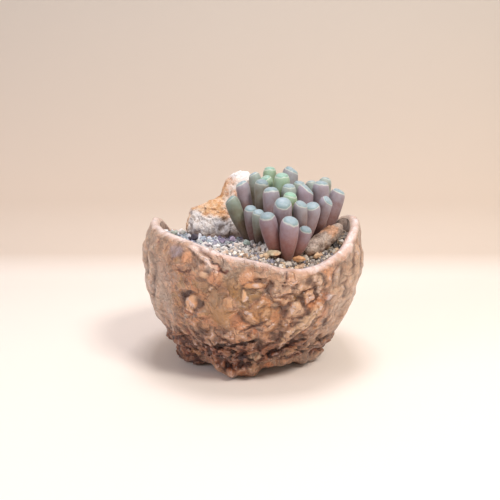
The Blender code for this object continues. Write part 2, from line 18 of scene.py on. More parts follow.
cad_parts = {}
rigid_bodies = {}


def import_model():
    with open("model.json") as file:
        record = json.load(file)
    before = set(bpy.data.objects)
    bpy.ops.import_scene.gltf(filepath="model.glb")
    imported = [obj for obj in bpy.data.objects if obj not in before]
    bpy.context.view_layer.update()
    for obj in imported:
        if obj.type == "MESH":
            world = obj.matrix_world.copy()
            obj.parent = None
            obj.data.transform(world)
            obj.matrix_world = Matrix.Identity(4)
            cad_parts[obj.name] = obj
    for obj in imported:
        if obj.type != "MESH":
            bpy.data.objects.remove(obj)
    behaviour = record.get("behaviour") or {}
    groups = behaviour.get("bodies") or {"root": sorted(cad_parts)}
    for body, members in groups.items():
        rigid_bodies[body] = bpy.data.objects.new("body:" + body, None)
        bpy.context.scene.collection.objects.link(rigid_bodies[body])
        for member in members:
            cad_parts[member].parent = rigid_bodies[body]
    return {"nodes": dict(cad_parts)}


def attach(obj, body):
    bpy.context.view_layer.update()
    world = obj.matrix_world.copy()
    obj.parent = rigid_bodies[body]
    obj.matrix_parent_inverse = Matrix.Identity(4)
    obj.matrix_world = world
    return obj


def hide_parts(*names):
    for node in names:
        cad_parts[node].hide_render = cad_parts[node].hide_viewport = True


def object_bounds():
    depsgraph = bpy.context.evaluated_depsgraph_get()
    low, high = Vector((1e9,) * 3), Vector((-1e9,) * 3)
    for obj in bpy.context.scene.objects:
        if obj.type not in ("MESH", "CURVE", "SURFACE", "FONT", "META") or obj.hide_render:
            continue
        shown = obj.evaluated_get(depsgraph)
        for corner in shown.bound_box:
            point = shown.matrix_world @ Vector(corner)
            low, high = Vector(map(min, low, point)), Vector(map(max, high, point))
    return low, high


bl_info = {
    "name": "Potted Baby Toes",
    "version": (1, 0, 0),
    "blender": (4, 5, 0),
    "location": "3D View > Sidebar > Baby Toes",
    "description": "Makes a clump of baby toes in a hand-built stoneware pot, with grit and stones",
    "category": "Object",
}

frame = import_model()
CAD_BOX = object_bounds()

MM = 0.001
BODY = "root"

# Pot: (height, radius) of the outside before it is made lumpy, mm
POT_PROFILE = (
    (0, 29.0), (4, 32.0), (9, 34.9), (16, 38.6), (25, 42.5), (35, 45.6), (44, 46.9),
    (50, 46.9), (56, 45.8), (62, 44.2), (66, 42.8),
)
# How far the pot leans to +X at each height
POT_LEAN = ((0, -1.2), (6, -1.1), (16, -0.6), (28, -0.2), (40, 0.4), (52, 0.6), (64, 1.2))
# (azimuth, height) of the rim's crest: two horns, a low lip in front and a low back
RIM_CREST = (
    (-180, 62.3), (-165, 62.0), (-145, 60.8), (-126, 59.1), (-104, 55.2), (-88, 52.8), (-76, 50.2),
    (-66, 49.3), (-52, 50.9), (-36, 54.8), (-26, 58.7), (-12, 61.8), (-2, 63.4), (14, 62.4), (30, 58.0),
    (55, 53.4), (85, 51.2), (115, 50.6), (140, 52.2), (154, 54.8), (168, 60.4),
)
RIM_THICKNESS = 5.4
HORN_THICKNESS = 4.0
HORN_FROM = 54.0
HORN_TO = 62.0
POT_INSIDE = ((9.5, 24.5), (13.0, 29.5), (24.0, 36.0), (38.0, 40.2), (43.5, 41.3))
UNDERSIDE = 3.2
FOOT_INNER_RADIUS = 22.5
FOOT_AZIMUTHS = (-160, -100, -22, 45, 131)
FOOT_FLAT_HALF_ANGLE = 11.0
FOOT_HALF_ANGLE = 22.0
DRAWN_IN = 3.4
DRAWN_IN_TOP = 16.0
DRAIN_RADIUS = 4.0
BROAD_LUMP = (21, 1.5)
KNUCKLE_LUMP = (10, 1.7)
CRAG_LUMP = (8, 3.0)
CRAG_TOP = 26
LUMP_SHIFT = (13.1, 4.7, 8.3)
SLAB_TOP = (-127, 59)
SLAB_BOTTOM = (-104, 48)
SLAB_PROUD = 1.1
POT_SIDES = 432
POT_ROWS = 178
RIM_ROWS = 14
INNER_ROWS = 14
# The foot's lower edge is worn round by this much
FOOT_ROUND = 2.2
# The clay's patterns are laid out on a drum of this radius; so many mm go round it in a degree
DRUM_RADIUS = 46.0
GIRTH = math.radians(1) * DRUM_RADIUS
# Sizes of the clay's cells: broad lumps, the knobs on them, and flakes of torn clay
LUMP_SIZE = 7.5
KNOB_SIZE = 3.8
FLAKE_SIZE = 4.6
# Hollows are told from the mean relief over this many cells each way
HOLLOW_REACH = 5
# How far short of the CAD box the relief starts to be squeezed
BOX_EASE = 1.2
# Azimuths of what differs round the wall: the draped flanks, the right blush, the roll at the foot,
# the smoothed clay, the lip that is wiped less and the part of the rim that is pinched most
LEFT_FLANK = -170
RIGHT_FLANK = -14
RIGHT_BLUSH = -18
ROLL = -75
SMOOTHED = -130
LESS_WIPED = -98
PINCHED = 24

# Grit, mm
GRIT_MIDDLE = 54.2
GRIT_RADIUS = 41.0
GRIT_DEPTH = 6.0
GRIT_FALL = 3.4
GRIT_EDGE = (
    (-180, 56.4), (-150, 57.3), (-135, 57.0), (-117, 55.0), (-104, 53.7), (-88, 51.6), (-76, 49.2),
    (-66, 48.2), (-52, 48.9), (-36, 50.6), (-25, 52.6), (-12, 55.2), (5, 56.4), (25, 55.6), (60, 51.6),
    (90, 49.6), (120, 49.2), (150, 52.4),
)
WALL_GAP = 0.5
GRIT_SIDES = 160
GRIT_RINGS = 34
# The bed of fines lies this far under the grit's level, and shows as a chip with this number
BED_DROP = 0.9
BED_CHIP = 0.05
# For each size of grain, in middling grains: spacing, smallest and largest
GRAIN_SIZES = ((1.75, 1.5, 2.3), (1.05, 1.0, 1.45), (0.53, 0.5, 0.8))
# Grains tried for each square metre
GRAIN_DENSITY = 4e6
CHIP_KINDS = 12
CHIP_CORNERS = 15

# Rock and pebble, mm
ROCK_HEART = (-11.0, 9.5, 60.0)
ROCK_LUMPS = (
    ((-17.2, 9.5, 56.6), (14.2, 12.0, 10.8)),
    ((-5.2, 14.0, 66.0), (9.6, 10.0, 15.6)),
    ((-13.0, 11.5, 61.0), (8.6, 9.5, 9.0)),
    ((-10.5, 4.2, 55.0), (9.4, 8.5, 9.5)),
)
ROCK_BOTTOM = 51.0
# The larger the number, the sharper the lumps of the rock meet
ROCK_BLEND = 8
# (size, depth) of the dents and pits that the solid rock has too
ROCK_DENTS = (9.0, 2.2)
ROCK_PITS = (4.0, 0.9)
# Sizes of the finer relief: blocks, breaks, grain and holes
ROCK_BLOCK = 8.0
ROCK_BREAK = 4.5
ROCK_GRAIN = 2.6
ROCK_HOLE = 1.9
PEBBLE_LOW_END = (20.8, -28.2, 51.8)
PEBBLE_HIGH_END = (37.0, -8.4, 59.6)
PEBBLE_HALF_WIDTH = 3.7
PEBBLE_HALF_THICKNESS = 3.2
# 2 would make the pebble an ellipsoid; a larger number makes its ends blunter
PEBBLE_BLUNTNESS = 2.6
PEBBLE_GRAIN = 2.2
PEBBLE_PIT = 1.3
# Middle of a painted shadow on the grit between the pebble and the rim
PAINTED_SHADOW_MIDDLE = (38.5, -15.0, 55.0)
# The larger chips on the grit: middle, half sizes, turn and colour
LOOSE_STONES = {
    "orange chip": ((17.6, -33.6, 50.9), (2.8, 1.3, 1.3), -14, "#C69468"),
    "cream flake": ((7.8, -33.2, 53.0), (3.6, 1.8, 1.5), -30, "#C6B79A"),
    "tan chip": ((24.6, -29.6, 51.4), (2.0, 1.3, 1.3), 35, "#D2B08A"),
    "white chip": ((34.6, 12.4, 57.0), (3.2, 2.4, 2.2), 20, "#D8CFC4"),
    "purple stone": ((-12.6, -17.6, 55.0), (1.7, 1.5, 1.6), 10, "#706680"),
    "lilac stone": ((-8.2, -14.6, 55.0), (1.5, 1.4, 1.5), 60, "#A898AC"),
    "dark stone": ((-24.0, -14.2, 55.9), (1.9, 1.6, 1.7), -20, "#4A444E"),
    "green stone": ((-2.4, -19.2, 54.3), (1.7, 1.4, 1.5), 15, "#93A29C"),
    "white stone": ((-29.6, -7.0, 57.0), (2.0, 1.8, 1.6), 10, "#E4DEDA"),
    "pale green stone": ((-32.6, -11.4, 57.3), (2.0, 1.6, 1.6), 0, "#B4BCB0"),
}
STONE_CORNERS = 22

# Plant, mm. Each head has a crown, (x, y) in the grit, and leaves: the tip (x, y, z), the tip's
# radius, the way its window leans, (x, y), and its tone
HEADS = {
    "head_left": ((3.4, -9.8), (
        ((-8.7, -8.7, 72.3), 3.1, (-0.5, 0.1), "olive"),
        ((-3.2, -1.2, 78.2), 3.0, (-0.3, -0.2), "mauve"),
        ((-1.4, -12.7, 68.9), 2.9, (0.1, -0.3), "grey"),
        ((2.3, -19.4, 68.0), 2.7, (0.1, -0.2), "sage"),
    )),
    "head_front": ((12.8, -27.2), (
        ((5.6, -32.0, 68.6), 3.4, (0.0, -0.2), "wine"),
        ((13.6, -36.0, 67.4), 3.6, (0.2, -0.2), "pink"),
        ((20.4, -30.7, 63.0), 2.8, (0.1, -0.2), "wine"),
    )),
    "head_middle": ((11.6, -18.2), (
        ((11.1, -29.6, 73.6), 3.6, (0.0, -0.4), "mauve"),
        ((7.4, -15.5, 76.8), 3.5, (0.0, -0.1), "mauve"),
        ((14.8, -20.6, 75.1), 3.0, (0.1, -0.2), "lime"),
        ((14.5, -13.2, 77.9), 3.0, (0.0, -0.2), "sage"),
    )),
    "head_back_left": ((6.2, -1.2), (
        ((1.4, 5.2, 81.5), 2.7, (-0.3, 0.1), "sage"),
        ((2.3, -8.7, 79.3), 3.1, (0.1, -0.2), "umber"),
        ((5.8, -0.3, 80.4), 3.0, (-0.3, -0.2), "green"),
        ((7.3, 7.8, 83.7), 3.0, (0.0, -0.1), "green"),
    )),
    "head_back": ((14.4, -6.6), (
        ((12.1, -6.8, 81.9), 3.4, (0.0, -0.2), "green"),
        ((16.5, 3.1, 84.0), 3.5, (0.45, -0.2), "slate"),
        ((19.5, -4.7, 78.4), 2.5, (0.1, -0.2), "sage"),
    )),
    "head_right_front": ((20.7, -17.4), (
        ((18.9, -27.4, 72.3), 2.8, (0.4, -0.2), "grey"),
        ((30.0, -22.5, 71.1), 3.4, (-0.3, -0.3), "mauve"),
        ((21.4, -11.5, 77.5), 3.5, (0.7, -0.2), "pink"),
    )),
    "head_right": ((26.4, -7.4), (
        ((30.2, -9.2, 78.2), 3.6, (0.1, 0.0), "mauve"),
        ((32.1, 5.9, 79.1), 2.9, (0.1, 0.1), "sage"),
        ((35.6, -1.9, 74.9), 3.4, (0.2, -0.1), "mauve"),
        ((35.8, -15.5, 73.1), 2.8, (0.6, -0.2), "mauve"),
        ((25.7, 2.0, 78.1), 2.5, (0.0, 0.1), "sage"),
    )),
    "head_rear": ((17.6, 5.0), (
        ((11.2, 12.0, 79.6), 3.0, (-0.1, 0.2), "grey"),
        ((19.0, 14.2, 76.4), 3.1, (0.0, 0.3), "mauve"),
        ((26.5, 11.5, 77.1), 2.9, (0.2, 0.2), "pink"),
        ((20.9, 6.2, 77.6), 2.7, (0.1, 0.1), "sage"),
    )),
}
# Shares of green and of red flush in each tone of leaf, and how light the leaf is
TONES = {
    "mauve": (0.08, 0.35, 1.0),
    "pink": (0.0, 0.55, 1.0),
    "wine": (0.0, 0.75, 0.84),
    "grey": (0.16, 0.35, 0.96),
    "sage": (0.5, 0.05, 1.0),
    "olive": (0.62, 0.25, 0.78),
    "umber": (0.45, 0.8, 0.84),
    "green": (0.95, 0.0, 1.05),
    "lime": (1.2, 0.0, 1.04),
    "slate": (0.22, 0.12, 1.0),
}
LEAF_TAPER = ((0.0, 0.58), (0.2, 0.67), (0.45, 0.83), (0.75, 0.97), (1.0, 1.0))
LEAF_DOME_DEPTH = 1.45
LEAF_DOME_POWER = 2.5
# The window, in tip radii: how deep its plane cuts, how much it slopes for a lean of 1, how far
# its middle bulges over its edge, and how softly the plane meets the dome
WINDOW_DEPTH = 0.05
WINDOW_SLOPE = 1.1
WINDOW_BULGE = 0.26
WINDOW_ROUND = 0.2
# (depth under the tip, radius) in tip radii, as in the solids, for how leaves keep apart
LEAF_DOME = ((0.0, 0.0), (0.10, 0.52), (0.46, 0.90), (1.35, 1.0))
LEAF_BASE_OFFSET = 3.3
LEAF_BASE_DEPTH = 2.2
LEAF_CLEARANCE = 0.4
LEAF_BOW = 0.05
CROWN_RADIUS = 4.2
CROWN_DEPTH = 3.0
CROWN_HEIGHT = 2.2
ROOT_RADIUS = 1.7
ROOT_LENGTH = 13.0
# Places along a leaf and round it
LEAF_SPOTS = 56
LEAF_SIDES = 36
# 1 would spread the places evenly from the base to the tip; this crowds them at the tip
LEAF_CROWDING = 2.2
# Leaves are pushed apart in this many rounds, at these shares of their length. Those of one head
# may touch at the low shares
PUSH_ROUNDS = 90
PUSH_SHARES = (0.0, 0.12, 0.24, 0.36, 0.48, 0.6, 0.7, 0.8, 0.88, 0.95)
LOW_SHARES = 4

# Marks on the outside of the pot, each placed by (azimuth, height): half width, half height,
# turn, how far it stands out, its colour, and how strongly that shows
MARKS = {
    "pale right wall": ((-36, 37), (11.0, 12.0), 0, 0.0, "#CCAA90", 0.5),
    "khaki wall": ((-111, 38), (7.0, 7.0), 0, 0.0, "#B2906A", 0.45),
    "pinkish flank": ((-140, 40), (6.0, 12.0), 0, 0.0, "#BA9E8C", 0.45),
    "tan low right": ((-44, 16), (8.0, 7.0), 0, 0.0, "#B89070", 0.4),
    "warm low left": ((-122, 10), (7.0, 5.0), 0, 0.0, "#8A5434", 0.35),
    "dark belt": ((-124, 22.5), (10.0, 2.6), 6, -0.2, "#55301F", 0.5),
    "peach knob on the slab": ((-122, 52.6), (2.1, 2.1), 0, 0.3, "#DE9A6E", 1.0),
    "lilac clay by the horn": ((-129, 54.5), (3.4, 2.4), 0, 0.0, "#A597A0", 0.6),
    "brown slab": ((-114, 54.0), (3.4, 2.2), -25, 0.2, "#A9784F", 0.6),
    "orange under the slab": ((-105.5, 49.8), (2.6, 0.9), -20, 0.0, "#C9743E", 0.8),
    "cream patch": ((-111.5, 47.4), (1.8, 1.2), 10, 0.4, "#E3B894", 0.8),
    "peach face": ((-106.5, 46.2), (3.4, 2.8), 0, 0.3, "#D09068", 0.95),
    "cream nub": ((-108.4, 42.0), (0.9, 1.1), -20, 0.6, "#EBC9AE", 0.9),
    "dark pit": ((-123, 38.2), (3.0, 1.6), 20, -0.9, "#4A2E20", 0.8),
    "orange knob": ((-120, 35.0), (2.6, 3.4), -15, 0.8, "#E2A06E", 1.0),
    "hollow by the knob": ((-115, 36.0), (1.6, 2.2), 0, -0.6, "#5C4030", 0.6),
    "upright nub": ((-94, 39.6), (1.0, 2.2), 0, 0.8, "#DFA36E", 0.8),
    "ochre flat": ((-105.5, 31.0), (4.6, 4.6), 0, 0.3, "#A87842", 0.8),
    "rust": ((-131, 20.0), (2.8, 1.8), 20, 0.0, "#8A3A1C", 0.7),
    "left foot": ((-136.5, 9.0), (2.4, 3.2), 0, 0.4, "#E0A878", 0.7),
    "front roll": ((-100, 3.6), (7.0, 2.4), 0, 0.5, "#B06A40", 0.6),
    "tan facet": ((-89, 12.0), (3.0, 3.6), -25, 0.4, "#C6A888", 0.75),
    "slate chips": ((-97.5, 11.8), (2.6, 1.6), 0, -0.4, "#454250", 0.8),
    "red speck": ((-141.5, 56.9), (0.8, 0.8), 0, -0.2, "#7E2A24", 0.9),
    "curled knob": ((-63, 38.6), (2.6, 2.3), 0, 1.0, "#DAA17E", 0.8),
    "curled knob's eye": ((-63.5, 38.4), (0.8, 0.6), 0, -0.7, "#8A5A40", 0.7),
    "peach lump": ((-53, 46.6), (2.8, 2.6), 0, 0.3, "#D8966A", 0.9),
    "peach boss": ((-92, 47.0), (3.0, 2.2), 10, 0.3, "#D89A70", 0.85),
    "orange boss": ((-84, 37.5), (2.6, 2.0), -20, 0.3, "#D08850", 0.75),
    "peach by the rim": ((-72, 44.5), (2.4, 2.0), 0, 0.3, "#DCA482", 0.8),
    "grey lump": ((-46, 45.0), (2.2, 2.4), 0, 0.5, "#A09088", 0.6),
    "lilac lump": ((-50.5, 36.4), (2.0, 1.2), 30, 0.3, "#C9BCC4", 0.7),
    "lilac streak": ((-59, 31.8), (1.8, 1.2), 40, 0.2, "#C4B0AC", 0.7),
    "orange stain": ((-64, 22.8), (2.3, 1.7), 10, 0.1, "#CC7C42", 0.85),
    "pale lump": ((-44.5, 13.6), (1.8, 1.2), 30, 0.4, "#E6C8B4", 0.7),
    "orange on the roll": ((-62.5, 13.3), (1.6, 1.4), 0, 0.3, "#D09048", 0.7),
    "ochre hollow": ((-69, 38.0), (3.2, 1.8), 0, -0.7, "#8E6A34", 0.7),
    "orange ridges": ((-89, 43.6), (3.6, 1.2), 0, 0.5, "#CB884E", 0.7),
    "ochre mottle": ((-87, 33.2), (6.5, 4.0), 0, 0.1, "#B07C46", 0.5),
    "cream boulder": ((-69.5, 33.2), (3.6, 3.0), 0, 0.7, "#D4AC8E", 0.7),
    "dark speck": ((-26, 29.5), (0.9, 0.9), 0, -0.3, "#4A302C", 0.8),
    "olive hollow": ((-64, 43.8), (2.0, 1.2), 0, -0.5, "#6E4A30", 0.6),
    "dark hollow": ((-48, 25.2), (2.2, 1.6), 0, -0.7, "#4E3428", 0.7),
}
# Lines on the outside: (azimuth, height) points, half width, how far out, colour, strength
LINES = {
    "long crevice": (((-120, 17.2), (-112, 16.6), (-104, 17.4), (-97, 18.4), (-90, 20.7)),
                     0.8, -1.3, "#2E1C16", 0.9),
    "dark ledge": (((-96, 25.4), (-93, 26.6), (-88.5, 28.6), (-83.5, 30.2)),
                   0.6, -0.35, "#6A3A26", 0.75),
    "crevice under the tongue": (((-80, 13.4), (-75.5, 14.8), (-68, 16.8), (-60, 18.6)),
                                 0.9, -1.3, "#3A241A", 0.9),
    "crack from the rim": (((-75, 49.4), (-75.5, 46.5), (-76.5, 43.5)), 0.35, -0.45, "#5A2E22", 0.8),
    # The slab's lip is painted pale as a highlight, and the groove by its edge is painted dark as its
    # shadow
    "slab's lip, painted highlight": (((-121.5, 57.2), (-118.5, 55.8), (-111, 51.9), (-105.8, 48.5)),
                   1.0, 0.8, "#E4CCC4", 0.85),
    "painted shadow by the slab's edge": (((-119, 58.3), (-116.5, 57.2), (-109, 53.2), (-103.6, 49.2)),
                    0.35, -0.5, "#8A5240", 0.7),
    "crease under the peach knob": (((-126, 48.0), (-122.5, 47.6), (-119, 48.4)),
                                    0.4, -0.4, "#8A4A38", 0.7),
    "red crease": (((-108, 49.0), (-104, 48.8), (-100.5, 49.0)), 0.4, -0.4, "#7A3024", 0.8),
    "raised tongue": (((-72.5, 20.6), (-66, 25.8), (-58, 31.6)), 2.6, 1.7, "#C8A482", 0.8),
    "pinched ridge": (((-60.5, 45.8), (-58.5, 42.0), (-56.5, 38.6)), 0.8, 0.7, "#D6B8A6", 0.7),
    "bottom roll": (((-90, 6.5), (-82, 8.6), (-74, 10.4), (-62, 13.0)), 2.2, 0.9, "#C0966E", 0.6),
    "right flank band": (((-29, 52.0), (-32, 38.0), (-29, 26.0)), 2.0, 0.6, "#CDAA90", 0.6),
}

# Stage, m. The floor ends in a cove at the back. Each lamp has a place, a size and a colour, and
# they all point at the middle of the part
FLOOR_BACK = 0.13
FLOOR_FRONT = -1.2
FLOOR_HALF_WIDTH = 1.5
COVE_RADIUS = 0.05
COVE_STEPS = 12
WALL_TOP = 1.2
# Heights over which the floor's colour turns to the backdrop's, and that to the upper wall's, whose
# darker colour is painted shade
BACKDROP_RISE = (0.0, 0.013)
UPPER_WALL_RISE = (0.06, 0.2)
UPPER_WALL_SHADE = "#BFB6AC"
LAMPS = {
    "key": ((0.24, -0.32, 0.50), 0.14, "#FFF8F0"),
    "fill": ((-0.50, -0.35, 0.35), 0.25, "#F0EEFF"),
    "top": ((0.0, -0.02, 0.62), 0.18, "#FBF8FF"),
}
LAMPS_AIM = (0, 0, 0.05)
# The camera stands here and looks down by this many degrees; the lens and the film are in mm
CAMERA_PLACE = (-0.001075, -0.241275, 0.09555)
CAMERA_DIP = 11.22
CAMERA_LENS = 40.32
CAMERA_FILM = 36


def linear(code):
    """An sRGB hex colour as linear numbers."""
    values = [int(code[place:place + 2], 16) / 255 for place in (1, 3, 5)]
    return tuple(v / 12.92 if v <= 0.04045 else ((v + 0.055) / 1.055) ** 2.4 for v in values)


def smooth(points, position, period=None):
    """Values at positions on a smooth curve through (position, value) points."""
    points = list(points)
    position = np.asarray(position, float)
    if period:
        first, second, last = points[0], points[1], points[-1]
        points = [(last[0] - period, last[1])] + points
        points += [(first[0] + period, first[1]), (second[0] + period, second[1])]
        position = (position - first[0]) % period + first[0]
    x, y = np.array(points, float).T
    slope = np.empty_like(y)
    slope[1:-1] = (y[2:] - y[:-2]) / (x[2:] - x[:-2])
    slope[0] = (y[1] - y[0]) / (x[1] - x[0])
    slope[-1] = (y[-1] - y[-2]) / (x[-1] - x[-2])
    index = np.clip(np.searchsorted(x, position) - 1, 0, len(x) - 2)
    span = x[index + 1] - x[index]
    t = np.clip((position - x[index]) / span, 0, 1)
    start = (2 * t**3 - 3 * t**2 + 1) * y[index] + (t**3 - 2 * t**2 + t) * span * slope[index]
    end = (3 * t**2 - 2 * t**3) * y[index + 1] + (t**3 - t**2) * span * slope[index + 1]
    return start + end


def step(low, high, value):
    """0 below low, 1 above high, and a smooth rise between them."""
    t = np.clip((value - low) / (high - low), 0, 1)
    return t * t * (3 - 2 * t)


def fall(low, high, value):
    """1 below low, 0 above high, and a smooth fall between them."""
    return 1 - step(low, high, value)


def degrees_between(a, b):
    return np.abs((a - b + 180) % 360 - 180)


def polar(radius, azimuth, height):
    """Points as an array whose last axis is x, y, z."""
    angle = np.radians(azimuth)
    return np.stack(np.broadcast_arrays(radius * np.cos(angle), radius * np.sin(angle), height), -1)


def sampled(pattern, spots):
    """pattern(Vector) at each point of an array."""
    values = [pattern(Vector(spot)) for spot in spots.reshape(-1, 3).tolist()]
    return np.array(values).reshape(spots.shape[:-1])


def waves(spots, size, shift=0.0):
    """Smooth noise, -1 to 1, with features about size mm across."""
    return sampled(noise.noise, spots / size + shift)


def pushes(spots):
    """A smooth random vector at each point, made from plain noise, which is alike in every run."""
    return np.stack([waves(spots, 1, shift) for shift in (0.0, 31.4, 67.7)], -1)


# Nodes and materials

# Plain words for the kinds of node that are used most, with the settings that make them so
KINDS = {
    "attribute": ("ShaderNodeAttribute", {}),
    "noise": ("ShaderNodeTexNoise", {}),
    "ramp": ("ShaderNodeValToRGB", {}),
    "range": ("ShaderNodeMapRange", {}),
    "mix": ("ShaderNodeMix", {"data_type": "RGBA"}),
    "overlay": ("ShaderNodeMix", {"data_type": "RGBA", "blend_type": "OVERLAY"}),
    "tint": ("ShaderNodeMix", {"data_type": "RGBA", "blend_type": "MULTIPLY"}),
    "named": ("GeometryNodeInputNamedAttribute", {}),
    "random": ("FunctionNodeRandomValue", {}),
}
for how in ("add", "subtract", "multiply", "divide", "absolute", "maximum", "less_than", "smooth_max"):
    KINDS[how] = ("ShaderNodeMath", {"operation": how.upper()})
for how in ("subtract", "multiply_add", "distance", "length", "dot_product", "scale"):
    KINDS["vector " + how] = ("ShaderNodeVectorMath", {"operation": how.upper()})


def shade(colour):
    """A hex colour, or a grey level, as a socket's four numbers."""
    return (*linear(colour), 1) if isinstance(colour, str) else (colour,) * 3 + (1,)


def add_node(tree, kind, *values, named=None, stops=None, **settings):
    """Add a node and fill its sockets, in order by values and by name by named.

    A value is a number, a hex colour, an output, or a node, which stands for its first output.
    stops maps places on a colour ramp, in percent, to colours.
    """
    kind, usual = KINDS.get(kind, (kind, {}))
    node = tree.nodes.new(kind)
    for name, value in {**usual, **settings}.items():
        setattr(node, name, value)
    if stops:
        elements = node.color_ramp.elements
        while len(elements) < len(stops):
            elements.new(0.5)
        for element, (percent, colour) in zip(elements, stops.items()):
            element.position = percent / 100
            element.color = shade(colour)
    given = list(zip([socket for socket in node.inputs if socket.enabled], values))
    given += [(node.inputs[name], value) for name, value in (named or {}).items()]
    for socket, value in given:
        if isinstance(value, bpy.types.Node):
            value = next(output for output in value.outputs if output.enabled)
        if isinstance(value, bpy.types.NodeSocket):
            tree.links.new(value, socket)
        else:
            is_colour = isinstance(value, str) and value.startswith("#")
            socket.default_value = shade(value) if is_colour else value
    return node


def new_material(name):
    """An empty material, a function that adds nodes to it, and the place on the object."""
    material = bpy.data.materials.new(name)
    material.use_nodes = True
    material.node_tree.nodes.clear()
    add = partial(add_node, material.node_tree)
    return material, add, add("ShaderNodeTexCoord").outputs["Object"]


def warped_place(add, place, size, amount):
    """The place pushed about by up to amount mm, by noise whose features are size mm across."""
    push = add("noise", place, 1 / (size * MM), 3).outputs["Color"]
    middle = add("vector subtract", push, (0.5,) * 3)
    return add("vector multiply_add", middle, (2 * amount * MM,) * 3, place)


def stored(add, *names):
    """Numbers that are stored on the mesh under these names."""
    return (add("attribute", attribute_name=name).outputs["Fac"] for name in names)


def layered(add, colour, *layers):
    """A colour with others laid over it in turn, each given as its share and its colour."""
    for share, layer in layers:
        colour = add("mix", share, colour, layer)
    return colour


def finish_material(add, colour, roughness, height, bump, depth, **inputs):
    """Link a Principled shader with a bump to the output. depth is the bump's height in mm."""
    bumps = add("ShaderNodeBump", named={"Strength": bump, "Distance": depth * MM, "Height": height})
    shader = add("ShaderNodeBsdfPrincipled", named={
        "Base Color": colour, "Roughness": roughness, "Normal": bumps, "Coat Normal": bumps,
        **{name.replace("_", " "): value for name, value in inputs.items()},
    })
    add("ShaderNodeOutputMaterial", shader)


